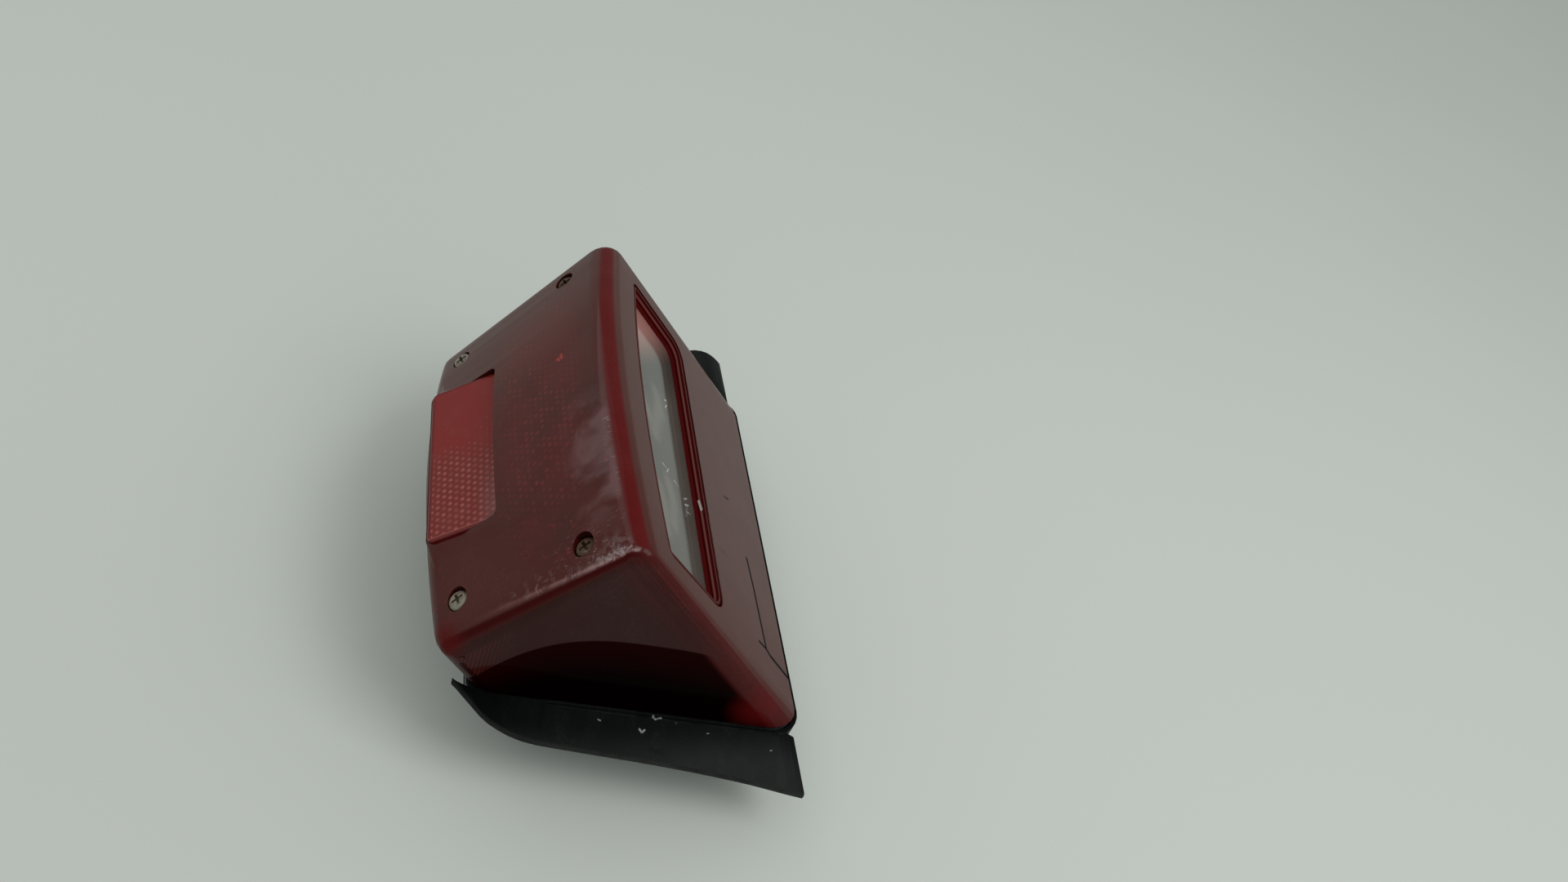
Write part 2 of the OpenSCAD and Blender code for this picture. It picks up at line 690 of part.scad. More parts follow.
// Smooth course between the stations
function station(t) =
  let (rows = wing_stations, last = len(rows) - 1, i = min(floor(t), last - 1), f = t - i,
    a = rows[max(i - 1, 0)], b = rows[i], c = rows[i + 1], d = rows[min(i + 2, last)])
  b + f * (c - a) / 2 + f * f * (2 * a - 5 * b + 4 * c - d) / 2
    + f * f * f * (3 * b - a - 3 * c + d) / 2;
// Slice across a wing, from the top of its root around the free edge to the bottom of its root
function wing_slice(s, reach, past, lift, hang) =
  let (y = s[0] * rim_l, rest = max(1 - s[0], 0), free_y = y - past * rest,
    root = half_w(min(y, rim_l)) + gap, free = root + s[2] * reach,
    top = s[3] * wing_drop + lift * pow(rest, 2) - hang * pow(max(1 - y / wing_hang_l, 0), 2),
    r = wing_round * min(wing_t, free - root + cut), r_in = wing_round * r)
  [[root - cut, y, s[1] * wing_drop], [free - r, free_y, top], [free - r_in, free_y, top - r_in],
    [free, free_y, top - wing_t / 2], [free - r_in, free_y, top - wing_t + r_in],
    [free - r, free_y, top - wing_t], [root - cut, y, s[4] * wing_drop]];
module wing(reach, past, lift, hang) {
  slices = [for (i = [0:(len(wing_stations) - 1) * wing_steps])
    wing_slice(station(i / wing_steps), reach, past, lift, hang)];
  n = len(slices[0]);
  ends = [[for (j = [0:n - 1]) j], [for (j = [n - 1:-1:0]) n + j]];
  for (i = [1:len(slices) - 1]) hull() polyhedron(concat(slices[i - 1], slices[i]), ends);
}
// Room in the pad for the housing, open at the top end of the lamp
module pad_room() {
  far = rim_l * 1.2;
  low = half_w(-gap) + gap;
  top = half_w(far) + gap;
  at_rim() slab(rounded([[-low, -gap], [low, -gap], [top, far], [-top, far]],
    [flange_r, flange_r, least_r, least_r]), under_z, skirt);
}
// Distance of the pad's rim below the rim of the lens, and its play around the boots and the nuts
pad_rim_in = 1;
boot_play = 2;
nut_play = 0.75;
module mount_pad() {
  color([0.13, 0.14, 0.14]) difference() {
    union() {
      at_rim() slab(rim_outline(-pad_wall, -pad_wall, gap, flange_r, rim_top_r),
        under_z - pad_t, -pad_rim_in);
      at_rim() wing(right_reach, -right_short, right_lift, right_hang);
      mirror([1, 0, 0]) at_rim() wing(left_reach, left_past, 0, left_hang);
    }
    pad_room();
    at_bulbs() bar(shell_d + 2 * (boot_wall + boot_play), under_z - pad_t - cut, pad_t + 2 * cut);
    at_studs() bar(nut_corners + 2 * nut_play, -cut, pad_t + 2 * cut);
  }
}

// Studs with a flat head on the housing bosses, and the thin nuts that hold them
stud_top = pad_t + flange_t + stud_boss_h;
module mounting_studs() {
  color([0.62, 0.6, 0.55]) at_studs() {
    bar(stud_d, -stud_reach, stud_reach + slip);
    bar(stud_shank_d, 0, stud_top);
    bar(stud_head_d, stud_top, stud_head_t);
  }
}
module stud_nuts() {
  color([0.6, 0.57, 0.5]) at_studs() difference() {
    bar(nut_corners, pad_t - nut_t, nut_t, 6);
    bar(stud_shank_d + slip, pad_t - nut_t - cut, nut_t + 2 * cut);
  }
}

// Bulb and socket, drawn around the bulb's axis with the rim plane at z = 0
module place_bulb(side) {
  at_rim() translate([side * bulb_x, bulb_y, 0]) children();
}
// Lower end of the socket shell, with its lip
shell_end = under_z - shell_drop;
lip_t = 0.6;
// Fixed board on the lip, spring, and sliding board with the contacts
base_z = shell_end + lip_t;
base_t = 2;
spring_l = 4.5;
slider_z = base_z + base_t + spring_l;
slider_t = 3;
contact_x = 3;
contact_d = 3.6;
contact_rise = 0.8;
rivet_d = contact_d - 1;
rivet_drop = 0.5;
contact_z = slider_z + slider_t + contact_rise;
// Bulb base, cap with its pins, and flange of the shell
solder_h = 0.9;
solder_d = 2.6;
base_disc_t = 1.4;
cap_wall = 0.4;
cap_floor = 0.6;
cap_hole_d = 6;
cap_z = contact_z + solder_h + base_disc_t;
cap_top = cap_z + cap_l;
pin_up = 7;
pin_z = cap_z + pin_up;
seal_h = 0.8;
flange_z = floor_z + seal_h;
shell_flange_t = 1;
shell_up = 3;

// Ball of the bulb: its centre, and the depth of the glass in the cap
ball_z = contact_z + bulb_l - bulb_d / 2;
glass_in = 4;
ball_steps = 12;
module bulb_glass() {
  r = bulb_d / 2;
  neck = cap_d / 2 - cap_wall;
  join = asin(neck / r) - 90;
  outer = [for (i = [0:ball_steps]) [0, ball_z] + r * turn(blend(join, 90, i / ball_steps))];
  inner = [for (i = [ball_steps:-1:0])
    [0, ball_z] + (r - glass_wall) * turn(blend(join, 90, i / ball_steps))];
  color([0.9, 0.92, 0.9, 0.4]) rotate_extrude($fn = round_fn)
    polygon(concat([[neck, cap_top - glass_in]], outer, inner, [[neck - glass_wall, cap_top - glass_in]]));
}

// Glass stem with two filaments, one behind the other, each on two wires
module bulb_filament() {
  stem_z = cap_z + cap_floor;
  stem_top = cap_top + 5;
  wire_d = 0.7;
  wire_x = 1.6;
  coil_d = 1.2;
  coil_l = 3.9;
  coil_y = 1.1;
  coil_rise = 2;
  color([0.55, 0.55, 0.52]) {
    bar(stem_d, stem_z, stem_top - stem_z, pin_fn);
    for (row = [-1, 1]) {
      coil_z = ball_z + row * coil_rise;
      for (side = [-1, 1]) translate([side * wire_x, row * coil_y, 0])
        bar(wire_d, stem_top - cut, coil_z - stem_top + cut, pin_fn);
      translate([0, row * coil_y, coil_z]) rotate([0, 90, 0])
        cylinder(d = coil_d, h = coil_l, center = true, $fn = pin_fn);
    }
  }
}

module bulb_cap() {
  color([0.75, 0.65, 0.42]) difference() {
    union() {
      bar(cap_d, cap_z, cap_l);
      translate([0, 0, pin_z]) rotate([90, 0, 0])
        cylinder(d = pin_d, h = shell_d, center = true, $fn = pin_fn);
    }
    bar(cap_d - 2 * cap_wall, cap_z + cap_floor, cap_l);
    bar(cap_hole_d, cap_z - cut, cap_floor + 2 * cut, pin_fn);
  }
}

// Insulating disc with two solder dots
module bulb_base() {
  disc_z = contact_z + solder_h;
  color([0.08, 0.08, 0.09]) {
    translate([0, 0, disc_z]) cylinder(d1 = cap_d - 3, d2 = cap_d - 1, h = base_disc_t, $fn = round_fn);
    for (side = [-1, 1]) translate([side * contact_x, 0, contact_z])
      cylinder(d1 = solder_d - cap_wall, d2 = solder_d + cap_wall, h = solder_h + slip, $fn = pin_fn);
  }
}

module socket_shell() {
  slot_w = pin_d + cap_wall;
  inner_d = shell_d - 2 * shell_wall;
  color([0.7, 0.7, 0.66]) difference() {
    union() {
      bar(shell_d, shell_end, shell_up - shell_end);
      bar(shell_flange_d, flange_z, shell_flange_t);
    }
    bar(inner_d, base_z, shell_up - shell_end);
    bar(cap_d - 2, shell_end - cut, lip_t + 2 * cut);
    translate([-slot_w / 2, -shell_d, pin_z - slot_w / 2])
      cube([slot_w, 2 * shell_d, shell_up + cut - pin_z]);
  }
}

module socket_seal() {
  color([0.14, 0.14, 0.14]) difference() {
    bar(shell_flange_d, floor_z, seal_h);
    bar(shell_d + slip, floor_z - cut, seal_h + 2 * cut);
  }
}

module socket_insulator() {
  color([0.45, 0.25, 0.12]) difference() {
    bar(cap_d + cap_room / 2, slider_z, slider_t);
    for (side = [-1, 1]) translate([side * contact_x, 0, 0])
      bar(rivet_d + slip, slider_z - cut, slider_t + 2 * cut, pin_fn);
  }
}
module socket_contacts() {
  color([0.78, 0.6, 0.3]) for (side = [-1, 1]) translate([side * contact_x, 0, 0]) {
    bar(rivet_d, slider_z - rivet_drop, rivet_drop + slider_t + slip, pin_fn);
    bar(contact_d, slider_z + slider_t, contact_rise, pin_fn);
  }
}
// Coiled wire between the fixed and the sliding board
module contact_spring() {
  turns = 3;
  wire_d = 0.9;
  coil_r = cap_d / 2 - 1.2;
  steps = 16;
  wire_fn = 6;
  low = base_z + base_t + wire_d / 2;
  rise = spring_l - wire_d;
  color([0.7, 0.7, 0.7]) skin([for (i = [0:turns * steps])
    let (place = turn(360 * i / steps), z = low + rise * i / (turns * steps))
    [for (k = [wire_fn - 1:-1:0]) let (p = wire_d / 2 * turn(360 * k / wire_fn), r = coil_r + p[0])
      [r * place[0], r * place[1], z + p[1]]]]);
}
module socket_base() {
  wire_hole_d = 2.4;
  color([0.45, 0.25, 0.12]) difference() {
    bar(cap_d + cap_room - slip, base_z, base_t);
    for (side = [-1, 1]) translate([side * contact_x, 0, 0])
      bar(wire_hole_d, base_z - cut, base_t + 2 * cut, pin_fn);
  }
}
// Rubber boot over the shell, with the inlet for the wires
module socket_boot() {
  room = 3;
  shoulder = 2;
  inlet_wall = 2;
  r_in = shell_d / 2 + slip;
  r_out = r_in + boot_wall;
  room_z = shell_end - room;
  floor_low = room_z - boot_wall;
  inlet_r = inlet_d / 2 + inlet_wall;
  color([0.12, 0.12, 0.12]) difference() {
    rotate_extrude($fn = round_fn) polygon([[0, floor_low - inlet_l], [inlet_r - gap, floor_low - inlet_l],
      [inlet_r + gap, floor_low], [r_out - shoulder, floor_low], [r_out, floor_low + shoulder],
      [r_out, under_z], [0, under_z]]);
    bar(2 * r_in, room_z, under_z - room_z + cut);
    bar(inlet_d, floor_low - inlet_l - cut, inlet_l + boot_wall + 2 * cut);
  }
}

lens();
plate_window();
reflex_reflector();
lens_gasket();
housing();
inner_reflector();
reflector_screws();
lens_screws(low_screw);  // lens_screws_lower
lens_screws(top_screw);  // lens_screws_upper
screw_seals();
mount_pad();
mounting_studs();
stud_nuts();
place_bulb(-1) bulb_glass();  // bulb_glass_left
place_bulb(-1) bulb_filament();  // bulb_filament_left
place_bulb(-1) bulb_cap();  // bulb_cap_left
place_bulb(-1) bulb_base();  // bulb_base_left
place_bulb(-1) socket_shell();  // socket_shell_left
place_bulb(-1) socket_seal();  // socket_seal_left
place_bulb(-1) socket_insulator();  // socket_insulator_left
place_bulb(-1) socket_contacts();  // socket_contacts_left
place_bulb(-1) contact_spring();  // contact_spring_left
place_bulb(-1) socket_base();  // socket_base_left
place_bulb(-1) socket_boot();  // socket_boot_left
place_bulb(1) bulb_glass();  // bulb_glass_right
place_bulb(1) bulb_filament();  // bulb_filament_right
place_bulb(1) bulb_cap();  // bulb_cap_right
place_bulb(1) bulb_base();  // bulb_base_right
place_bulb(1) socket_shell();  // socket_shell_right
place_bulb(1) socket_seal();  // socket_seal_right
place_bulb(1) socket_insulator();  // socket_insulator_right
place_bulb(1) socket_contacts();  // socket_contacts_right
place_bulb(1) contact_spring();  // contact_spring_right
place_bulb(1) socket_base();  // socket_base_right
place_bulb(1) socket_boot();  // socket_boot_right
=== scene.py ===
# Looks of a worn motorcycle tail light: lens, plate window, reflex reflector, rubber pad, screws and bulbs.
# Everything is in metres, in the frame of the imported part: the pad's face lies at z = 0.
# Colours are linear red, green and blue. Masks go from 0 to 1.
import math
from types import SimpleNamespace

import bmesh
import bpy
from mathutils import Matrix, Vector


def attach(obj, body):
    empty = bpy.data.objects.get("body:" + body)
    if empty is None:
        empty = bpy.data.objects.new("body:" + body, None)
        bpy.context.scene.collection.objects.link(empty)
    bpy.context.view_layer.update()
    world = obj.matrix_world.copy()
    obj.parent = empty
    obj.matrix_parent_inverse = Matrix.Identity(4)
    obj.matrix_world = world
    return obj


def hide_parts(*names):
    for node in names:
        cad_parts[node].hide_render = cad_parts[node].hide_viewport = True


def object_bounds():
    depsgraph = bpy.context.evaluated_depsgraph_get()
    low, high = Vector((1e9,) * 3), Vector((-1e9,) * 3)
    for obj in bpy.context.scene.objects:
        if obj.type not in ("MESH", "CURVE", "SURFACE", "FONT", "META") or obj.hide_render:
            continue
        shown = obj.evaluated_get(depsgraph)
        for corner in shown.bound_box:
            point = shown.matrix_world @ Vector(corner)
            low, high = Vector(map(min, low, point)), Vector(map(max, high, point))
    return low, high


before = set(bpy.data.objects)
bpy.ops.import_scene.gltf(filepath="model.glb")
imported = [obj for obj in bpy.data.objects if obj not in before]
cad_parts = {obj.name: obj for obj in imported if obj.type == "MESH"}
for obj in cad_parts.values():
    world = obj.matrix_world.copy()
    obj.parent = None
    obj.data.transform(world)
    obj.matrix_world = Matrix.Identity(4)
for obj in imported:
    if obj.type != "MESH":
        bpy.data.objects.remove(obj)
cad_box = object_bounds()
MM = 0.001

# Directions and places of the lamp's walls, from the part's own driving sizes
ACROSS = Vector((1, 0, 0))
BOTTOM_ANGLE = math.radians(47.3)
FACE_TILT = math.radians(52.1)
REFLEX_TILT = FACE_TILT - math.radians(13.9)
BOTTOM_UP = Vector((0, math.cos(BOTTOM_ANGLE), math.sin(BOTTOM_ANGLE)))
BOTTOM_OUT = Vector((0, -math.sin(BOTTOM_ANGLE), math.cos(BOTTOM_ANGLE)))
FACE_UP = Vector((0, math.cos(FACE_TILT), -math.sin(FACE_TILT)))
FACE_OUT = Vector((0, math.sin(FACE_TILT), math.cos(FACE_TILT)))
REFLEX_UP = Vector((0, math.cos(REFLEX_TILT), -math.sin(REFLEX_TILT)))
# In mm: the length of the bottom face, where the reflector starts up the rear face, and how far it is raised
BOTTOM_LENGTH = 111
REFLEX_START = 51.4
REFLEX_RAISE = 3.6
RIM = Vector((0, -57, 7)) * MM
FACE_LOW = RIM + BOTTOM_UP * BOTTOM_LENGTH * MM
REFLEX_LOW = FACE_LOW + FACE_UP * REFLEX_START * MM + FACE_OUT * REFLEX_RAISE * MM
REFLEX_SIZE = (68.7 * MM, 26.2 * MM)
REFLEX_RIM = 1.4 * MM
PRISM = 2.6 * MM

# Left corners of the lens: at the low and at the top end of the side wall, which get a painted red glow, and
# at the end of the ridge
LOW_CORNER = (-79.5 * MM, -41 * MM, 17 * MM)
TOP_CORNER = (-66.0 * MM, 65.5 * MM, 26 * MM)
RIDGE_CORNER = (-72.6 * MM, 17.4 * MM, 84.1 * MM)

# The window's frame: its span up from the rim, then where its mask begins and is full, across and in depth
FRAME_SPAN = (50 * MM, 101 * MM)
FRAME_HALF = (71.5 * MM, 70.5 * MM)
FRAME_TOP = (0.20 * MM, 0.45 * MM)
FRAME_FLOOR = (12 * MM, 10 * MM)

# The painted dark reflection of the pad's wing, low on the side walls, ends in an arch: its middle, half
# width, crown and drop
ARCH_MIDDLE = 2 * MM
ARCH_HALF = 52 * MM
ARCH_CROWN = 44 * MM
ARCH_DROP = 28 * MM

# Marks on the bottom face as courses in mm: across the lamp, up from the rim and, for the nick, down into it
CRACK = ((-20, 21.5), (-33, 20), (-58.5, 18.7), (-59.8, 15.5), (-61, -4))
CRACK_BRANCH = ((-58.5, 18.7), (-58.7, 25))
TICK = ((1.3, 34.6), (1.7, 32.6), (2.9, 30.4))
FAINT_LINE = ((-33.1, 49.9), (-33.6, 47.4), (-32.3, 44.3), (-32.4, 41.6))
FRAME_NICK = ((-16.1, 56.7, 2.1), (-20.4, 56.7, 1.6))
# A speck over the rear face, in mm: across the lamp, up from the lower edge, and out
SPECK = (15.5, 20.5, 7.6)
# The pane's depth below the bottom face, and its scuffs and soft streaks of painted reflection across the
# lamp and up, in mm
PANE_DEPTH = 4.5
PANE_SCUFFS = (
    ((25.7, 68.8), (27.3, 66.4)), ((25.1, 66.9), (21.7, 69.0)),
    ((-14.0, 79.1), (-14.3, 77.0)), ((-12.9, 74.3), (-15.9, 76.3)),
    ((-16.0, 70.9), (-16.1, 68.1)),
    ((-19.5, 64.4), (-17.6, 61.8)), ((-22.0, 64.1), (-20.3, 61.4)),
    ((-24.6, 63.4), (-23.8, 60.6)),
)
PANE_REFLECTION_STREAKS = (
    ((9.3, 88.6), (3.2, 83.6)), ((23.6, 76.5), (14.8, 74.8)), ((13.2, 76.8), (-1.8, 82.3)),
    ((-28.3, 84.1), (-34.4, 82.5), (-45.2, 82.7)), ((-20.6, 76.4), (-28.5, 74.4), (-39.4, 76.9)),
)
# Pale nicks on the left wing as courses with a width, and dark blots with a radius, in mm
NICKS = (
    (((-73.6, -8.4, 2.5), (-74.6, -6.1, 2.5)), 0.5),
    (((-77.2, -5.6, 6.0), (-78.2, -5.3, 6.0), (-78.5, -6.3, 5.4), (-78.4, -8.0, 6.0)), 0.4),
    (((-71.5, -11.4, 2.5), (-71.7, -12.2, 2.5)), 0.5),
    (((-81.7, -0.8, 4.1), (-82.8, -1.6, 3.8), (-82.0, -2.5, 4.1)), 0.4),
    (((-78.8, 13.2, 4.6), (-79.1, 12.4, 4.5)), 0.25),
    (((-82.7, -24.9, 4.3), (-82.8, -24.3, 4.3)), 0.2),
    (((-87.7, -47.5, 2.7), (-87.8, -47.0, 2.7)), 0.25),
)
BLOTS = (((-88.1, -4.9, 2.0), 1.0), ((-88.8, -6.9, 1.8), 1.2), ((-89.5, -8.8, 1.6), 0.9))

# Colours of the lens, painted glow, shade, reflections and highlights among them
RED = SimpleNamespace(
    face_left=(0.066, 0.0040, 0.0026),
    face_right=(0.068, 0.0085, 0.0062),
    face_middle=(0.098, 0.0036, 0.0026),
    # Painted red glow along the lower edge of the rear face, by the ridge
    face_low_glow=(0.095, 0.0018, 0.0026),
    face_cloud=(0.036, 0.0044, 0.0036),
    prism_gap=(0.052, 0.0022, 0.0024),
    # Painted glints on the prisms of the rear face
    painted_prism_glint=(0.30, 0.034, 0.030),
    side_low=(0.0260, 0.0026, 0.0020),
    side_high=(0.0280, 0.0036, 0.0028),
    side_cloud=(0.030, 0.0022, 0.0020),
    side_streak=(0.082, 0.0090, 0.0090),
    side_flute=(0.100, 0.0080, 0.0070),
    # Painted dark reflection of the pad's wing, low on the side walls, and its darkest part
    painted_dark_reflection=(0.0105, 0.0003, 0.0004),
    deepest_painted_reflection=(0.0012, 0.0001, 0.0001),
    # Painted red glow in front of the dark reflection
    painted_glow=(0.052, 0.0030, 0.0028),
    bottom_dark=(0.056, 0.0085, 0.0062),
    bottom_pale=(0.072, 0.0120, 0.0088),
    wall=(0.100, 0.0070, 0.0072),
    # Painted shade in the frame's steps, and a painted highlight on its bead
    wall_step_shade=(0.040, 0.0008, 0.0008),
    wall_top_shade=(0.060, 0.0040, 0.0036),
    wall_bead_highlight=(0.200, 0.070, 0.064),
    # Painted red glow on the ridge between the rear face and the bottom
    ridge_glow_dark=(0.082, 0.0020, 0.0026),
    ridge_glow_pale=(0.105, 0.0026, 0.0034),
    # Painted deep red band along the side edges: red light through the edge, with a dark reflection on it
    side_edge=(0.044, 0.0006, 0.0008),
    low_edge=(0.060, 0.0040, 0.0040),
    # Painted red glow at the low and at the top corner
    low_corner_glow=(0.080, 0.0036, 0.0036),
    top_corner_glow=(0.110, 0.0045, 0.0045),
)
# Colours of what lies on the lens or is cut into it, and of painted highlights along its left edge
WEAR = SimpleNamespace(
    dust=(0.33, 0.30, 0.27),
    patch=(0.28, 0.18, 0.19),
    # Painted pink highlight band along the left edge, and rub that is scuffs with painted highlight
    painted_edge_highlight=(0.42, 0.22, 0.23),
    rub_and_highlight=(0.46, 0.38, 0.38),
    scratch=(0.38, 0.28, 0.30),
    sore=(0.190, 0.0120, 0.0110),
    grain=(0.34, 0.03, 0.025),
    crack=(0.006, 0.0015, 0.0013),
    speck=(0.50, 0.045, 0.035),
    nick=(0.50, 0.46, 0.44),
)


def on_bottom(at_x, at_up, deep=0.0):
    """Place on the bottom face, from mm across the lamp, up from the rim and below the face."""
    return RIM + ACROSS * at_x * MM + BOTTOM_UP * at_up * MM - BOTTOM_OUT * deep * MM


def grey(level):
    """Colour with the same level of red, green and blue."""
    return (level, level, level)


class Shader:
    """One node material. Its methods but set and put add nodes and return what these give out."""

    def __init__(self, name, **inputs):
        """Inputs are the own values of the surface's sockets. A later set may link over them."""
        self.material = bpy.data.materials.new(name)
        self.material.use_nodes = True
        self.tree = self.material.node_tree
        self.surface = self.tree.nodes["Principled BSDF"]
        coords = self.tree.nodes.new("ShaderNodeTexCoord")
        self.place = coords.outputs["Object"]
        self.normal = coords.outputs["Normal"]
        for label, value in inputs.items():
            self.set(label.replace("_", " "), value)

    def put(self, socket, value):
        """Links a socket to another one, or gives it a value."""
        if isinstance(value, bpy.types.NodeSocket):
            self.tree.links.new(value, socket)
        elif socket.type == "RGBA" and len(value) == 3:
            socket.default_value = (*value, 1)
        else:
            socket.default_value = value

    def set(self, label, value):
        """Sets an input of the surface, by its name in any case."""
        socket = next(s for s in self.surface.inputs if s.name.lower() == label.lower())
        self.put(socket, value)

    def math(self, operation, a, b=0.0, clamp=False):
        node = self.tree.nodes.new("ShaderNodeMath")
        node.operation = operation
        node.use_clamp = clamp
        self.put(node.inputs[0], a)
        self.put(node.inputs[1], b)
        return node.outputs[0]

    def chain(self, operation, first, others):
        for other in others:
            first = self.math(operation, first, other)
        return first

    def plus(self, first, *others):
        return self.chain("ADD", first, others)

    def times(self, first, *others):
        return self.chain("MULTIPLY", first, others)

    def most(self, first, *others):
        return self.chain("MAXIMUM", first, others)

    def minus(self, a, b):
        return self.math("SUBTRACT", a, b)

    def over(self, a, b):
        return self.math("DIVIDE", a, b)

    def absolute(self, value):
        return self.math("ABSOLUTE", value)

    def inverse(self, mask):
        return self.math("SUBTRACT", 1.0, mask, clamp=True)

    def vector(self, operation, a, b=(0, 0, 0)):
        node = self.tree.nodes.new("ShaderNodeVectorMath")
        node.operation = operation
        self.put(node.inputs[0], a)
        self.put(node.inputs[1], b)
        gives_number = operation in ("DOT_PRODUCT", "LENGTH", "DISTANCE")
        return node.outputs["Value" if gives_number else "Vector"]

    def join(self, x, y, z=0.0):
        node = self.tree.nodes.new("ShaderNodeCombineXYZ")
        for socket, value in zip(node.inputs, (x, y, z)):
            self.put(socket, value)
        return node.outputs[0]

    def along(self, axis, origin=(0, 0, 0)):
        """Distance along an axis from an origin."""
        reach = self.vector("DOT_PRODUCT", self.place, tuple(axis))
        return self.minus(reach, Vector(origin).dot(axis))

    def toward(self, axis):
        """How much the surface faces along an axis, from -1 to 1."""
        return self.vector("DOT_PRODUCT", self.normal, tuple(axis))

    def facing(self, axis, low, high):
        """Mask of the surface that faces along an axis."""
        return self.step(self.toward(axis), low, high)

    def step(self, value, low, high, start=0.0, end=1.0):
        """Smooth course from start at low to end at high."""
        node = self.tree.nodes.new("ShaderNodeMapRange")
        node.interpolation_type = "SMOOTHSTEP"
        for socket, number in zip(node.inputs, (value, low, high, start, end)):
            self.put(socket, number)
        return node.outputs[0]

    def within(self, value, low, high, soft):
        """1 between low and high, with soft ends."""
        begins = self.step(value, low - soft, low + soft)
        ends = self.step(value, high - soft, high + soft, 1, 0)
        return self.times(begins, ends)

    def noise(self, size, place=None, detail=2.0, rough=0.5, bend=0.0):
        """Noise with features of about that size in metres."""
        node = self.tree.nodes.new("ShaderNodeTexNoise")
        self.put(node.inputs["Vector"], place or self.place)
        settings = {"Scale": 1 / size, "Detail": detail, "Roughness": rough, "Distortion": bend}
        for label, value in settings.items():
            self.put(node.inputs[label], value)
        return node.outputs["Fac"]

    def cells(self, size):
        """Distance from the nearest point of a scatter, as a share of its spacing."""
        node = self.tree.nodes.new("ShaderNodeTexVoronoi")
        self.put(node.inputs["Vector"], self.place)
        self.put(node.inputs["Scale"], 1 / size)
        return node.outputs["Distance"]

    def random(self, place):
        node = self.tree.nodes.new("ShaderNodeTexWhiteNoise")
        self.put(node.inputs["Vector"], place)
        return node.outputs["Value"]

    def mix(self, kind, share, a, b):
        node = self.tree.nodes.new("ShaderNodeMix")
        node.data_type = kind
        ends = [s for s in node.inputs if s.type == kind and s.name in "AB"]
        self.put(node.inputs[0], share)
        self.put(ends[0], a)
        self.put(ends[1], b)
        return next(s for s in node.outputs if s.type == kind)

    def blend(self, share, a, b):
        """Colour a, with a share of colour b over it."""
        return self.mix("RGBA", share, a, b)

    def layers(self, colour, *coats):
        """Lays coats over a colour, one after the other. A coat is its share and its colour."""
        for share, coat in coats:
            colour = self.blend(share, colour, coat)
        return colour

    def bump(self, height, depth, strength):
        """Normal of a relief whose height goes from 0 to 1 over that depth in metres."""
        node = self.tree.nodes.new("ShaderNodeBump")
        self.put(node.inputs["Height"], height)
        self.put(node.inputs["Distance"], depth)
        self.put(node.inputs["Strength"], strength)
        return node.outputs[0]

    def spot(self, centre, radius, soft=0.4):
        """1 within a radius of a place, with a soft rim."""
        distance = self.vector("DISTANCE", self.place, tuple(centre))
        return self.step(distance, radius * (1 - soft), radius * (1 + soft), 1, 0)

    def line(self, points, width, soft=1.2):
        """1 up to half the width from a course of points, and 0 from soft times the width on."""
        nearest = 1.0
        for a, b in zip(points, points[1:]):
            way = b - a
            offset = self.vector("SUBTRACT", self.place, tuple(a))
            reach = self.vector("DOT_PRODUCT", offset, tuple(way))
            share = self.math("DIVIDE", reach, way.length_squared, clamp=True)
            scaled = self.tree.nodes.new("ShaderNodeVectorMath")
            scaled.operation = "SCALE"
            scaled.inputs[0].default_value = tuple(way)
            self.put(scaled.inputs["Scale"], share)
            distance = self.vector("DISTANCE", offset, scaled.outputs[0])
            nearest = self.math("MINIMUM", nearest, distance)
        return self.step(nearest, width * 0.5, width * soft, 1, 0)

    def bottom_line(self, course, width, deep=0.0, soft=1.2):
        """Line along a course on the bottom face, or that deep below it in mm."""
        points = [on_bottom(at_x, at_up, deep) for at_x, at_up in course]
        return self.line(points, width, soft)

    def hex_cells(self, u, v, pitch):
        """Place in the nearest cell of a hexagonal grid, as shares of the pitch, and the cell's own place."""
        height = math.sqrt(3)
        grid = self.join(self.over(u, pitch), self.over(v, pitch))
        found = []
        for offset in ((0, 0, 0), (0.5, height / 2, 0)):
            moved = self.vector("SUBTRACT", grid, offset)
            snap = self.tree.nodes.new("ShaderNodeVectorMath")
            snap.operation = "SNAP"
            self.put(snap.inputs[0], self.vector("ADD", moved, (0.5, height / 2, 0)))
            self.put(snap.inputs[1], (1, height, 1))
            centre = self.vector("ADD", snap.outputs[0], offset)
            found.append((self.vector("SUBTRACT", grid, centre), centre))
        lengths = [self.vector("LENGTH", inside) for inside, _ in found]
        first_nearer = self.math("LESS_THAN", *lengths)
        return [self.mix("VECTOR", first_nearer, found[1][part], found[0][part]) for part in (0, 1)]


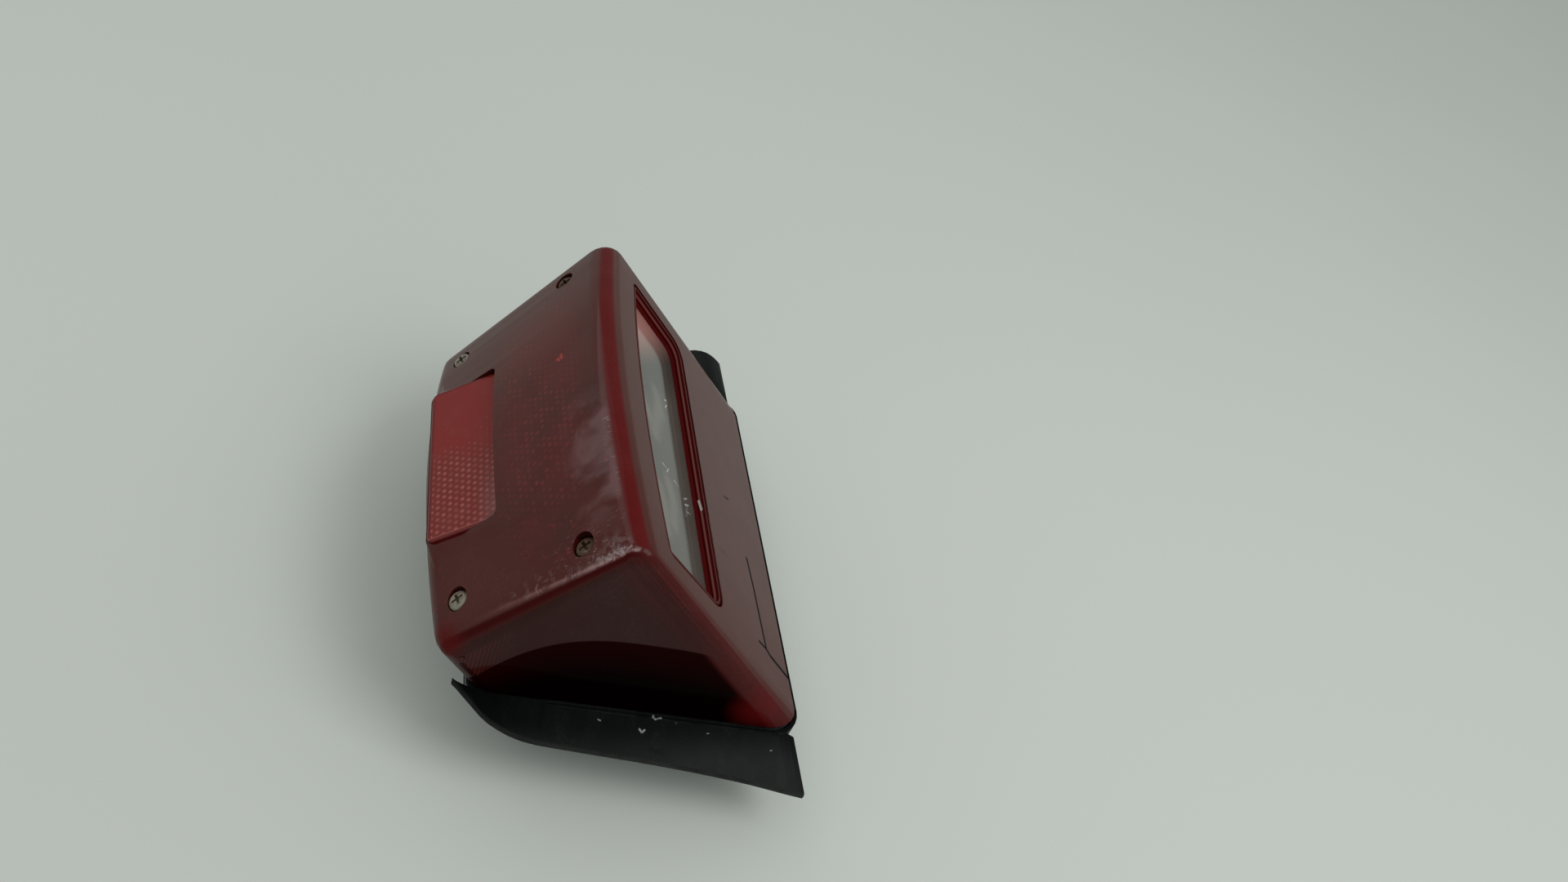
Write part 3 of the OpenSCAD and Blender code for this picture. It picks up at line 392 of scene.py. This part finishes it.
def add_side_zones(s, at):
    """The painted dark reflection of the pad's wing low on the side walls, the painted red glow in front of
    it, painted red glow at two corners, and the flutes.
    """
    from_middle = s.over(s.absolute(s.minus(at.y, ARCH_MIDDLE)), ARCH_HALF)
    arch = s.minus(ARCH_CROWN, s.times(s.math("POWER", from_middle, 3.0), ARCH_DROP))
    at.below = s.minus(arch, at.z)
    # Painted dark reflection of the pad's wing: darker below the arch
    at.painted_dark_reflection = s.times(
        s.step(at.below, -0.3 * MM, 0.9 * MM), at.side, s.step(at.depth, 6.0 * MM, 9.5 * MM),
    )
    # Painted red glow on the side walls in front of the dark reflection
    at.painted_glow = s.times(
        s.step(at.depth, 10 * MM, 6 * MM), s.step(at.below, -2 * MM, 4 * MM), s.step(at.lean, 0.55, 0.8),
    )
    # Painted red glow at the low and at the top corner of the side walls
    at.low_corner_glow = s.times(s.spot(LOW_CORNER, 9 * MM, 0.7), s.step(at.lean, 0.3, 0.6))
    at.top_corner_glow = s.spot(TOP_CORNER, 5 * MM, 0.9)
    at.flutes = s.math("SINE", s.over(at.y, 0.19 * MM))
    at.fluted = s.times(
        s.step(at.lean, 0.955, 0.985), s.step(at.y, 44 * MM, 58 * MM), s.inverse(at.painted_dark_reflection),
    )


def lens_zones(s):
    """Masks of the zones of the lens, with the distances and noises that its colours share."""
    at = SimpleNamespace()
    at.x = s.along(ACROSS)
    at.y = s.along(Vector((0, 1, 0)))
    at.z = s.along(Vector((0, 0, 1)))
    at.up = s.along(FACE_UP, FACE_LOW)
    at.low_up = s.along(BOTTOM_UP, RIM)
    at.depth = s.times(s.along(BOTTOM_OUT, RIM), -1)
    at.lean = s.absolute(s.toward(ACROSS))
    at.cloud = s.noise(26 * MM, detail=3)
    at.fine = s.noise(0.9 * MM, detail=4, rough=0.7)

    at.frame = s.times(
        s.within(at.low_up, *FRAME_SPAN, 0.6 * MM), s.step(at.depth, *FRAME_TOP),
        s.step(at.depth, *FRAME_FLOOR), s.step(s.absolute(at.x), *FRAME_HALF),
    )
    at.face = s.times(s.facing(FACE_OUT, 0.80, 0.93), s.inverse(at.frame))
    at.bottom = s.facing(BOTTOM_OUT, 0.90, 0.985)
    at.side = s.step(at.lean, 0.72, 0.88)
    # The ridge between the rear face and the bottom, and the edges along the side walls
    ridge_out = (FACE_OUT + BOTTOM_OUT).normalized()
    at.ridge = s.times(s.facing(ridge_out, 0.90, 0.975), s.step(at.lean, 0.6, 0.3))
    at.side_edge = s.times(
        s.step(at.lean, 0.54, 0.64), s.facing(FACE_OUT, 0.05, 0.35), s.inverse(at.side),
    )
    at.low_edge = s.times(
        s.within(at.lean, 0.45, 0.88, 0.10), s.facing(BOTTOM_OUT, 0.30, 0.50), s.inverse(at.frame),
    )
    at.beside_edge = s.times(s.step(at.depth, 17 * MM, 0.5 * MM), at.side)
    add_side_zones(s, at)
    return at


def face_colour(s, at):
    """Rear face, with the prisms on its inside seen as rows of small dots, with painted glints on them."""
    inside, cell = s.hex_cells(at.x, at.up, PRISM)
    dot = s.step(s.vector("LENGTH", inside), 0.42, 0.16)
    # Painted glints, of random strength, on the prism dots
    painted_glints = s.times(dot, s.math("POWER", s.random(cell), 1.3))
    middle = s.times(
        s.within(at.x, -44 * MM, 50 * MM, 14 * MM), s.within(at.up, 14 * MM, 47 * MM, 8 * MM),
    )
    prisms = s.times(middle, at.face, s.step(at.cloud, 0.36, 0.6))
    return s.layers(
        s.blend(s.step(at.x, -10 * MM, 70 * MM), RED.face_left, RED.face_right),
        (s.times(middle, 0.7), RED.face_middle),
        (s.times(prisms, 0.35), RED.prism_gap),
        (s.times(prisms, painted_glints, 0.34), RED.painted_prism_glint),
        (s.times(s.step(at.cloud, 0.5, 0.72), 0.42), RED.face_cloud),
        # Painted red glow near the ridge
        (s.times(s.step(at.up, 7 * MM, -3 * MM), 0.6), RED.face_low_glow),
    )


def side_colour(s, at):
    """Side walls: a painted dark reflection below and a painted red glow in front of it, with streaks beside
    the bottom edge and flutes near the top end.
    """
    streak_place = s.join(s.over(at.depth, 1.1 * MM), s.over(at.low_up, 60 * MM))
    streaks = s.step(s.noise(1.0, streak_place, detail=3, rough=0.6), 0.45, 0.68)
    # Painted dark reflection of the pad's wing, darkest far below the arch
    painted_dark_reflection = s.blend(s.step(at.below, 1 * MM, 24 * MM), RED.painted_dark_reflection, RED.deepest_painted_reflection)
    return s.layers(
        s.blend(s.step(at.z, 30 * MM, 80 * MM), RED.side_low, RED.side_high),
        (s.times(s.step(at.cloud, 0.5, 0.7), 0.5), RED.side_cloud),
        (s.times(at.beside_edge, s.plus(s.times(streaks, 0.6), 0.25)), RED.side_streak),
        (at.painted_dark_reflection, painted_dark_reflection),
        (at.painted_glow, RED.painted_glow),
        (s.times(at.fluted, s.step(at.flutes, -0.4, 0.9), 0.55), RED.side_flute),
    )


def frame_colour(s, at):
    """Walls of the window's frame: painted shade at the top and in a dark line along its steps, a painted
    highlight line along its bead, and one nick.
    """
    nick = s.line([on_bottom(*place) for place in FRAME_NICK], 0.5 * MM)
    return s.layers(
        RED.wall,
        (s.within(at.depth, 2.35 * MM, 2.95 * MM, 0.15 * MM), RED.wall_step_shade),
        (s.step(at.depth, 1.35 * MM, 1.15 * MM), RED.wall_top_shade),
        (s.within(at.depth, 1.40 * MM, 2.10 * MM, 0.15 * MM), RED.wall_bead_highlight),
        (nick, WEAR.nick),
    )


def plastic_colour(s, at):
    """Colour of the moulding itself, from zone to zone, with painted glow, shade, reflections and highlights
    in it.
    """
    bottom = s.blend(s.noise(34 * MM, detail=2), RED.bottom_dark, RED.bottom_pale)
    # Painted red glow on the ridge
    ridge = s.blend(s.noise(9 * MM, detail=2), RED.ridge_glow_dark, RED.ridge_glow_pale)
    return s.layers(
        bottom,
        (at.face, face_colour(s, at)),
        (at.side, side_colour(s, at)),
        (s.times(at.ridge, 0.95), ridge),
        # Painted deep red band along the side edges
        (at.side_edge, RED.side_edge),
        (s.times(at.low_edge, 0.7), RED.low_edge),
        # Painted red glow at two corners
        (at.low_corner_glow, RED.low_corner_glow),
        (s.times(at.top_corner_glow, 0.55), RED.top_corner_glow),
        (at.frame, frame_colour(s, at)),
    )


def add_dust(s, at, wear):
    """Dust off the painted dark reflection, the frame and the side edges, and a milky patch on the rear face.
    """
    wear.dust_cloud = s.noise(17 * MM, detail=4, rough=0.6)
    clean = s.most(at.painted_dark_reflection, at.frame, at.side_edge)
    dust = s.times(s.step(wear.dust_cloud, 0.36, 0.72), s.step(at.fine, 0.3, 0.75), s.inverse(clean))
    wear.dust = s.plus(s.times(dust, 0.030), s.times(at.face, 0.012))
    wear.patch = s.times(
        s.within(at.x, -56 * MM, -14 * MM, 9 * MM), s.within(at.up, 3 * MM, 19 * MM, 5 * MM), at.face,
        s.step(s.noise(12 * MM, detail=3, bend=0.6), 0.36, 0.62),
    )


def add_rubbed_and_highlit_edge(s, at, wear):
    """Rubbed strip along the left edge of the rear face, strongest at the corner, with painted highlight in
    it, and a painted pink highlight band.
    """
    left_lean = s.times(s.toward(-ACROSS), s.step(at.x, -40 * MM, -55 * MM))
    outward = s.facing(FACE_OUT, 0.6, 0.75)
    off_ridge = s.inverse(at.ridge)
    wear.rub_grain = s.noise(2.4 * MM, detail=4, rough=0.75, bend=0.8)
    strip = s.times(s.within(left_lean, 0.23, 0.56, 0.06), outward)
    strong = s.times(strip, s.step(at.up, 30 * MM, 2 * MM), s.step(wear.rub_grain, 0.40, 0.60))
    weak = s.times(strip, s.step(at.up, 60 * MM, 30 * MM), s.step(wear.rub_grain, 0.52, 0.70), 0.45)
    # Scuffs with a painted highlight in them, strongest at the corner
    wear.rub_and_highlight = s.times(s.most(strong, weak), off_ridge)
    # Painted pink highlight band along the left edge
    wear.painted_edge_highlight = s.times(
        s.within(left_lean, 0.40, 0.54, 0.06), outward, s.step(at.up, 72 * MM, 20 * MM),
        off_ridge, s.step(s.noise(7 * MM, detail=2), 0.25, 0.6),
    )


def add_face_marks(s, at, wear):
    """Fine scratches at two places of the rear face, red sores on its left part, red grains and a speck."""
    scratch_place = s.join(s.over(at.x, 0.8 * MM), s.over(at.up, 3 * MM), 3.0)
    scratched = s.step(s.noise(1.0, scratch_place, detail=3, rough=0.7, bend=0.8), 0.60, 0.70)
    beside_strip = s.times(
        scratched, at.face, s.within(at.x, -72 * MM, -58 * MM, 4 * MM),
        s.within(at.up, 2 * MM, 30 * MM, 5 * MM), 0.6,
    )
    beside_patch = s.times(
        scratched, at.face, s.within(at.x, -50 * MM, -22 * MM, 5 * MM),
        s.within(at.up, 1 * MM, 7 * MM, 3 * MM), 0.6,
    )
    wear.scratch = s.most(beside_strip, beside_patch)
    wear.sore = s.times(
        s.step(s.noise(3.2 * MM, detail=3, rough=0.65, bend=0.8), 0.58, 0.68), at.face,
        s.within(at.x, -70 * MM, -44 * MM, 6 * MM), s.step(s.noise(26 * MM, detail=1), 0.42, 0.6),
    )
    wear.grains = s.times(
        s.step(s.cells(5.5 * MM), 0.12, 0.05), s.step(s.noise(20 * MM, detail=1), 0.5, 0.62), at.face, 0.6,
    )
    across, up, out = SPECK
    speck_place = FACE_LOW + ACROSS * across * MM + FACE_UP * up * MM + FACE_OUT * out * MM
    ragged = s.step(s.noise(1.1 * MM, detail=3), 0.44, 0.6)
    wear.speck = s.times(s.spot(speck_place, 1.5 * MM), ragged, 0.8)


def lens_wear(s, at):
    """Masks of the wear on the lens and of the painted highlights along its left edge, from the three
    functions above, and of its cracks.
    """
    wear = SimpleNamespace()
    add_dust(s, at, wear)
    add_rubbed_and_highlit_edge(s, at, wear)
    add_face_marks(s, at, wear)
    wear.crack = s.most(
        s.bottom_line(CRACK, 1.05 * MM), s.bottom_line(CRACK_BRANCH, 0.7 * MM),
        s.times(s.bottom_line(TICK, 0.55 * MM), 0.8), s.times(s.bottom_line(FAINT_LINE, 0.45 * MM), 0.35),
    )
    return wear


def lens_gloss(s, at, wear):
    """Weight of the clear skin. It mirrors least where the dark reflection is painted, on the frame's walls
    and in the cracks.
    """
    return s.layers(
        s.blend(at.bottom, grey(0.52), grey(0.36)),
        (at.side, grey(0.25)),
        (s.most(at.painted_glow, at.low_corner_glow, at.top_corner_glow), grey(0.12)),
        (s.times(at.bottom, s.step(at.x, -30 * MM, -70 * MM)), grey(0.27)),
        (at.ridge, grey(0.17)),
        (at.low_edge, grey(0.10)),
        (at.side_edge, grey(0.07)),
        (at.beside_edge, grey(0.13)),
        (s.most(at.painted_dark_reflection, at.frame), grey(0.03)),
        (s.spot(RIDGE_CORNER, 3.5 * MM, 0.5), grey(0.20)),
        (wear.crack, grey(0.0)),
    )


def lens_material():
    """Red moulding with prisms inside, under a clear glossy skin that is dusty and scuffed. Its colour also
    holds painted glow, shade, reflections and highlights.
    """
    base_specular = 0.12
    s = Shader(
        "lens_red", IOR=1.3, Specular_IOR_Level=base_specular, Roughness=0.5,
        Coat_IOR=1.49, Coat_Roughness=0.1,
    )
    at = lens_zones(s)
    wear = lens_wear(s, at)
    colour = s.layers(
        plastic_colour(s, at),
        (wear.dust, WEAR.dust),
        (s.times(wear.patch, 0.30), WEAR.patch),
        (s.times(wear.painted_edge_highlight, 0.42), WEAR.painted_edge_highlight),
        (s.times(wear.rub_and_highlight, 0.75), WEAR.rub_and_highlight),
        (s.times(wear.scratch, 0.8), WEAR.scratch),
        (s.times(wear.sore, 0.45), WEAR.sore),
        (s.times(wear.grains, 0.5), WEAR.grain),
        (wear.crack, WEAR.crack),
        (wear.speck, WEAR.speck),
    )
    s.set("Base Color", colour)
    s.set("Normal", s.bump(s.times(at.fluted, at.flutes), 0.12 * MM, 0.6))
    wave = s.plus(s.times(s.noise(30 * MM, detail=1), 0.5), s.times(at.fine, 0.02))
    skin = s.plus(wave, s.times(wear.rub_and_highlight, wear.rub_grain, 0.35))
    s.set("Coat Normal", s.bump(skin, 0.25 * MM, 0.7))
    s.set("Coat Weight", lens_gloss(s, at, wear))
    # No specular where the dark reflection of the wing is painted, nor on the frame
    no_specular = s.most(at.painted_dark_reflection, at.frame)
    s.set("Specular IOR Level", s.step(no_specular, 0.0, 0.8, base_specular, 0.0))
    rough = s.plus(s.times(wear.dust_cloud, 0.10), s.times(s.most(wear.rub_and_highlight, wear.patch), 0.25))
    s.set("Coat Roughness", s.plus(rough, 0.04))
    return s.material


def reflex_material():
    """Prism plate: rows of small prisms under a smooth clear skin, with a plain rim."""
    s = Shader(
        "reflex_red", IOR=1.45, Specular_IOR_Level=0.2, Roughness=0.35,
        Coat_IOR=1.49, Coat_Roughness=0.1,
    )
    x = s.along(ACROSS)
    up = s.along(REFLEX_UP, REFLEX_LOW)
    inside, cell = s.hex_cells(x, up, PRISM)
    from_centre = s.vector("LENGTH", inside)
    half, wide = REFLEX_SIZE[0] / 2, REFLEX_SIZE[1]
    field = s.times(
        s.within(x, REFLEX_RIM - half, half - REFLEX_RIM, 0.2 * MM),
        s.within(up, REFLEX_RIM, wide - REFLEX_RIM, 0.2 * MM),
        s.facing(REFLEX_UP.cross(ACROSS), -0.9, -0.95),
    )
    # The left half is milky inside, and its prisms show there as pale dots of painted glint
    wavy_x = s.plus(x, s.times(s.noise(12 * MM), 22 * MM))
    milky = s.times(s.step(wavy_x, 19 * MM, 5 * MM), field)
    sparse = s.times(s.step(wavy_x, 30 * MM, 12 * MM), s.step(s.noise(9 * MM, detail=1), 0.45, 0.6), field)
    dot = s.step(from_centre, 0.34, 0.12)
    # Painted glints of random strength on the prisms
    painted_glint = s.times(dot, s.plus(s.times(s.random(cell), 0.7), 0.3))
    prisms = s.layers(
        s.blend(milky, (0.215, 0.0110, 0.0090), (0.190, 0.0200, 0.0165)),
        (s.times(s.noise(9 * MM, detail=3), 0.5), (0.165, 0.0120, 0.0105)),
        (s.times(milky, s.step(from_centre, 0.40, 0.52), 0.5), (0.100, 0.0080, 0.0075)),
        (s.times(painted_glint, s.most(milky, s.times(sparse, 0.4)), 0.70), (0.42, 0.110, 0.090)),
    )
    # Two painted highlight lines along the left end, which itself is darker
    end_highlight_lines = s.most(
        s.within(x, 0.1 * MM - half, 0.45 * MM - half, 0.1 * MM),
        s.within(x, 1.2 * MM - half, 1.5 * MM - half, 0.1 * MM),
    )
    end = s.facing(-ACROSS, 0.4, 0.8)
    dust = s.times(s.step(s.noise(8 * MM, detail=4, rough=0.65), 0.45, 0.8), 0.05)
    low_dust = s.times(s.step(up, 10 * MM, 0.0), s.step(x, 0.0, -30 * MM), s.inverse(end), 0.22)
    colour = s.layers(
        s.blend(field, (0.135, 0.0080, 0.0075), prisms),
        (s.times(end_highlight_lines, 0.5), (0.40, 0.16, 0.15)),
        (end, (0.085, 0.0008, 0.0014)),
        (s.most(dust, low_dust), (0.26, 0.22, 0.22)),
    )
    s.set("Base Color", colour)
    s.set("Normal", s.bump(s.times(dot, milky), 0.25 * MM, 0.5))
    s.set("Coat Normal", s.bump(s.noise(18 * MM, detail=2), 0.2 * MM, 0.5))
    s.set("Coat Weight", s.minus(0.24, s.times(end, 0.1)))
    s.set("Coat Roughness", s.plus(s.times(milky, 0.08), 0.06))
    return s.material


def window_material():
    """Clear pane gone milky, with scuffs and soft streaks of painted reflection. Painted red light from the
    lens tints its right end.
    """
    s = Shader("window_clear", IOR=1.45, Specular_IOR_Level=0.3)
    slant = s.plus(s.along(ACROSS), s.along(BOTTOM_UP, RIM))
    cloud = s.noise(24 * MM, detail=3)
    # Soft streaks of painted reflection
    reflection_streak = s.most(*(s.bottom_line(course, 1.2 * MM, PANE_DEPTH, 5.0) for course in PANE_REFLECTION_STREAKS))
    scuff = s.most(*(s.bottom_line(course, 0.45 * MM, PANE_DEPTH) for course in PANE_SCUFFS))
    broken = s.step(s.noise(1.6 * MM, detail=4, rough=0.8, bend=1.0), 0.46, 0.56)
    scuff = s.times(scuff, broken)
    colour = s.layers(
        s.blend(cloud, (0.090, 0.083, 0.072), (0.130, 0.120, 0.106)),
        (s.times(s.within(slant, 98 * MM, 122 * MM, 8 * MM), 0.6), (0.055, 0.058, 0.052)),
        # Painted red light from the lens on the right end of the pane
        (s.times(s.step(slant, 112 * MM, 138 * MM), 0.9), (0.55, 0.26, 0.23)),
        (s.times(reflection_streak, 0.15), (0.28, 0.265, 0.24)),
        (s.times(scuff, 0.8), (0.62, 0.62, 0.60)),
    )
    s.set("Base Color", colour)
    milky = s.plus(s.times(s.most(scuff, reflection_streak), 0.3), s.times(cloud, 0.1))
    s.set("Transmission Weight", s.math("SUBTRACT", 0.34, milky, clamp=True))
    s.set("Roughness", s.plus(s.times(scuff, 0.4), s.plus(s.times(cloud, 0.1), 0.06)))
    s.set("Normal", s.bump(s.noise(24 * MM, detail=1), 0.12 * MM, 0.5))
    return s.material


def rubber_material(name, nicks=(), blots=()):
    """Weathered black rubber, satin and a little dusty, with pale nicks and dark blots."""
    s = Shader(name, IOR=1.5, Specular_IOR_Level=0.1)
    cloud = s.noise(22 * MM, detail=4, rough=0.6)
    grain = s.noise(0.7 * MM, detail=3, rough=0.6)
    smear = s.noise(7 * MM, s.vector("MULTIPLY", s.place, (0.35, 1.0, 1.0)), detail=4, rough=0.65)
    broken = s.step(grain, 0.3, 0.5)
    dust = s.times(s.step(smear, 0.48, 0.78), s.step(grain, 0.35, 0.7), 0.14)
    # Surfaces facing across the lamp get lighter: rub, and a painted highlight on the rims
    edge_rub_and_highlight = s.times(s.step(s.absolute(s.toward(ACROSS)), 0.55, 0.85), s.step(smear, 0.3, 0.6))
    specks = s.times(s.step(s.cells(7.5 * MM), 0.09, 0.04), s.step(s.noise(30 * MM), 0.50, 0.60), 0.4)
    relief = s.plus(s.times(grain, 0.12), s.times(cloud, 1.2))
    colour = s.layers(
        s.blend(cloud, (0.0014, 0.0016, 0.0016), (0.0050, 0.0060, 0.0058)),
        (dust, (0.060, 0.064, 0.062)),
        (edge_rub_and_highlight, (0.0170, 0.0185, 0.0180)),
        (specks, (0.12, 0.12, 0.115)),
    )
    if nicks:
        lines = [s.line([Vector(place) * MM for place in course], wide * MM) for course, wide in nicks]
        marks = s.most(*lines)
        colour = s.blend(s.times(marks, broken, 0.8), colour, (0.30, 0.31, 0.30))
        relief = s.plus(relief, s.times(marks, 0.5))
    for centre, radius in blots:
        blot = s.times(s.spot(Vector(centre) * MM, radius * MM), broken)
        colour = s.blend(s.times(blot, 0.8), colour, (0.0012, 0.0012, 0.0012))
    s.set("Base Color", colour)
    s.set("Roughness", s.plus(s.times(smear, 0.22), 0.40))
    # The pad is duller beside the lamp than out on its wings: painted shade that the lamp casts there
    s.set("Specular IOR Level", s.step(s.absolute(s.along(ACROSS)), 80 * MM, 93 * MM, 0.03, 0.14))
    s.set("Normal", s.bump(relief, 0.5 * MM, 0.45))
    return s.material


def screw_material(name, rust, dirt):
    """Steel screw with dirt of a given colour. Its rust begins and is full at two levels of a noise."""
    s = Shader(name, IOR=1.5)
    grain = s.noise(0.5 * MM, detail=4, rough=0.7)
    spread = s.step(s.noise(2.2 * MM, detail=4, rough=0.7), *rust)
    colour = s.layers(
        s.blend(spread, (0.30, 0.27, 0.22), (0.085, 0.036, 0.018)),
        (s.times(s.step(grain, 0.42, 0.68), 0.7), dirt),
    )
    s.set("Base Color", colour)
    s.set("Metallic", s.times(s.inverse(spread), 0.7))
    s.set("Roughness", s.plus(s.times(spread, 0.35), 0.38))
    s.set("Normal", s.bump(grain, 0.25 * MM, 0.6))
    return s.material


def plain_material(name, colour, rough, metal=0.0, worn=(1.25, 1.22, 1.18)):
    """Simple finish with a fine relief. Its other tone is the colour multiplied by worn."""
    s = Shader(name, IOR=1.5, Metallic=metal)
    cloud = s.noise(6 * MM, detail=4, rough=0.6)
    other = tuple(min(a * b, 1) for a, b in zip(colour, worn))
    s.set("Base Color", s.blend(s.step(cloud, 0.35, 0.7), colour, other))
    s.set("Roughness", s.plus(s.times(cloud, 0.16), rough - 0.08))
    s.set("Normal", s.bump(s.noise(0.6 * MM, detail=3), 0.05 * MM, 0.5))
    return s.material


def glass_material():
    """Clear glass of the bulbs, a little uneven."""
    s = Shader("bulb_glass_clear", IOR=1.45, Transmission_Weight=1.0, Base_Color=(0.97, 0.98, 0.97))
    s.set("Roughness", s.times(s.noise(5 * MM), 0.06))
    return s.material


def paint(node, material):
    """Gives a node's material slots one material."""
    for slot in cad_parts[node].material_slots:
        slot.material = material


def smooth_copy(node, name, crease, material):
    """Stands for a node: the same form, welded and smooth but for edges that turn more than the crease."""
    weld = 0.002 * MM
    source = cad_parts[node].data
    points = [v.co.copy() for v in source.vertices]
    faces = [tuple(p.vertices) for p in source.polygons]
    mesh = bpy.data.meshes.new(name)
    mesh.from_pydata(points, [], faces)
    form = bmesh.new()
    form.from_mesh(mesh)
    bmesh.ops.remove_doubles(form, verts=form.verts, dist=weld)
    bmesh.ops.dissolve_degenerate(form, edges=form.edges, dist=weld)
    for face in form.faces:
        face.smooth = True
    for edge in form.edges:
        edge.smooth = len(edge.link_faces) == 2 and edge.calc_face_angle(0) < math.radians(crease)
    form.to_mesh(mesh)
    form.free()
    piece = bpy.data.objects.new(name, mesh)
    bpy.context.scene.collection.objects.link(piece)
    mesh.materials.append(material)
    even = piece.modifiers.new("even_shading", "WEIGHTED_NORMAL")
    even.keep_sharp = True
    even.weight = 50
    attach(piece, "root")
    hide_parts(node)


def looking_along(place, view):
    """Matrix of a camera or a lamp at a place, which looks along a direction."""
    return Matrix.Translation(place) @ view.to_track_quat("-Z", "Y").to_matrix().to_4x4()


def make_camera():
    """The photographer stands at the left of the lamp, above it, with the camera rolled."""
    place = Vector((-291.1, 106.6, 345.1)) * MM
    view = Vector((0.67513, -0.35306, -0.64773))
    roll = math.radians(25.65)
    data = bpy.data.cameras.new("photo_camera")
    data.sensor_width = 36
    data.lens = 27.58
    camera = bpy.data.objects.new("photo_camera", data)
    camera.matrix_world = looking_along(place, view) @ Matrix.Rotation(roll, 4, "Z")
    bpy.context.scene.collection.objects.link(camera)
    bpy.context.scene.camera = camera


def make_lamp(name, place, size, power):
    """Square soft lamp that looks at the middle of the tail light."""
    target = Vector((0, 0, 0.03))
    data = bpy.data.lights.new(name, "AREA")
    data.size = size
    data.energy = power
    lamp = bpy.data.objects.new(name, data)
    lamp.matrix_world = looking_along(place, target - Vector(place))
    bpy.context.scene.collection.objects.link(lamp)


def make_world(light, seen):
    """Even pale light. What the camera, gloss and clear pieces see of it has its own tone."""
    world = bpy.data.worlds.new("pale_room")
    bpy.context.scene.world = world
    world.use_nodes = True
    tree = world.node_tree
    tree.nodes.clear()
    path = tree.nodes.new("ShaderNodeLightPath")
    sight = path.outputs["Is Camera Ray"]
    for ray in ("Is Glossy Ray", "Is Transmission Ray"):
        either = tree.nodes.new("ShaderNodeMath")
        either.operation = "MAXIMUM"
        tree.links.new(sight, either.inputs[0])
        tree.links.new(path.outputs[ray], either.inputs[1])
        sight = either.outputs[0]
    mix = tree.nodes.new("ShaderNodeMixShader")
    tree.links.new(sight, mix.inputs[0])
    for number, colour in ((1, light), (2, seen)):
        background = tree.nodes.new("ShaderNodeBackground")
        background.inputs["Color"].default_value = (*colour, 1)
        tree.links.new(background.outputs[0], mix.inputs[number])
    output = tree.nodes.new("ShaderNodeOutputWorld")
    tree.links.new(mix.outputs[0], output.inputs["Surface"])


def make_floor():
    """Pale level floor under the lowest point of the lamp."""
    half = 2.5
    low = cad_box[0][2]
    corners = [(-half, -half, low), (half, -half, low), (half, half, low), (-half, half, low)]
    mesh = bpy.data.meshes.new("floor")
    mesh.from_pydata(corners, [], [(0, 1, 2, 3)])
    floor = bpy.data.objects.new("floor", mesh)
    bpy.context.scene.collection.objects.link(floor)
    s = Shader("floor_pale", IOR=1.4, Roughness=0.45)
    s.set("Base Color", s.blend(s.noise(0.5, detail=1), (0.53, 0.56, 0.53), (0.57, 0.60, 0.57)))
    mesh.materials.append(s.material)


bpy.context.scene.view_settings.view_transform = "Standard"
make_camera()
make_world(light=(0.60, 0.62, 0.60), seen=(0.44, 0.47, 0.44))
make_floor()
make_lamp("window_light", (-0.45, -0.60, 1.15), size=0.7, power=6)
make_lamp("room_light", (0.9, 0.7, 1.2), size=1.2, power=2.5)

smooth_copy("lens", "lens_moulding", crease=32, material=lens_material())
pad_rubber = rubber_material("pad_black", NICKS, BLOTS)
smooth_copy("mount_pad", "rubber_pad", crease=42, material=pad_rubber)

finishes = {
    "reflex_reflector": reflex_material(),
    "plate_window": window_material(),
    "lens_screws_lower": screw_material("screw_rusty", (0.22, 0.44), (0.030, 0.020, 0.014)),
    "lens_screws_upper": screw_material("screw_dusty", (0.45, 0.7), (0.26, 0.23, 0.19)),
    "screw_seals": plain_material("seal_brown", (0.030, 0.012, 0.010), 0.6),
    "lens_gasket": rubber_material("gasket_black"),
    "housing": plain_material("housing_black", (0.014, 0.014, 0.015), 0.45),
    "inner_reflector": plain_material("bright_coat", (0.72, 0.73, 0.72), 0.22, 1.0, worn=grey(1.1)),
    "reflector_screws": plain_material("steel_plain", (0.50, 0.50, 0.48), 0.35, 1.0),
    "mounting_studs": plain_material("stud_plating", (0.56, 0.53, 0.46), 0.38, 1.0),
    "stud_nuts": plain_material("nut_plating", (0.52, 0.50, 0.44), 0.4, 1.0),
}
for node, finish in finishes.items():
    paint(node, finish)

# Each of these nodes is there for the left and for the right bulb
paired_finishes = {
    "bulb_glass": glass_material(),
    "bulb_filament": plain_material("filament_grey", (0.42, 0.42, 0.40), 0.4, 0.6),
    "bulb_cap": plain_material("cap_brass_worn", (0.58, 0.45, 0.22), 0.32, 1.0),
    "bulb_base": plain_material("base_black", (0.02, 0.02, 0.022), 0.4),
    "socket_shell": plain_material("shell_plating", (0.58, 0.57, 0.52), 0.36, 1.0),
    "socket_seal": rubber_material("seal_black"),
    "socket_insulator": plain_material("board_brown", (0.14, 0.055, 0.022), 0.55),
    "socket_contacts": plain_material("contact_brass", (0.62, 0.45, 0.20), 0.3, 1.0),
    "contact_spring": plain_material("spring_steel", (0.52, 0.52, 0.50), 0.3, 1.0),
    "socket_base": plain_material("board_brown_fixed", (0.13, 0.050, 0.020), 0.55),
    "socket_boot": rubber_material("boot_black"),
}
for part, finish in paired_finishes.items():
    for hand in ("left", "right"):
        paint(f"{part}_{hand}", finish)
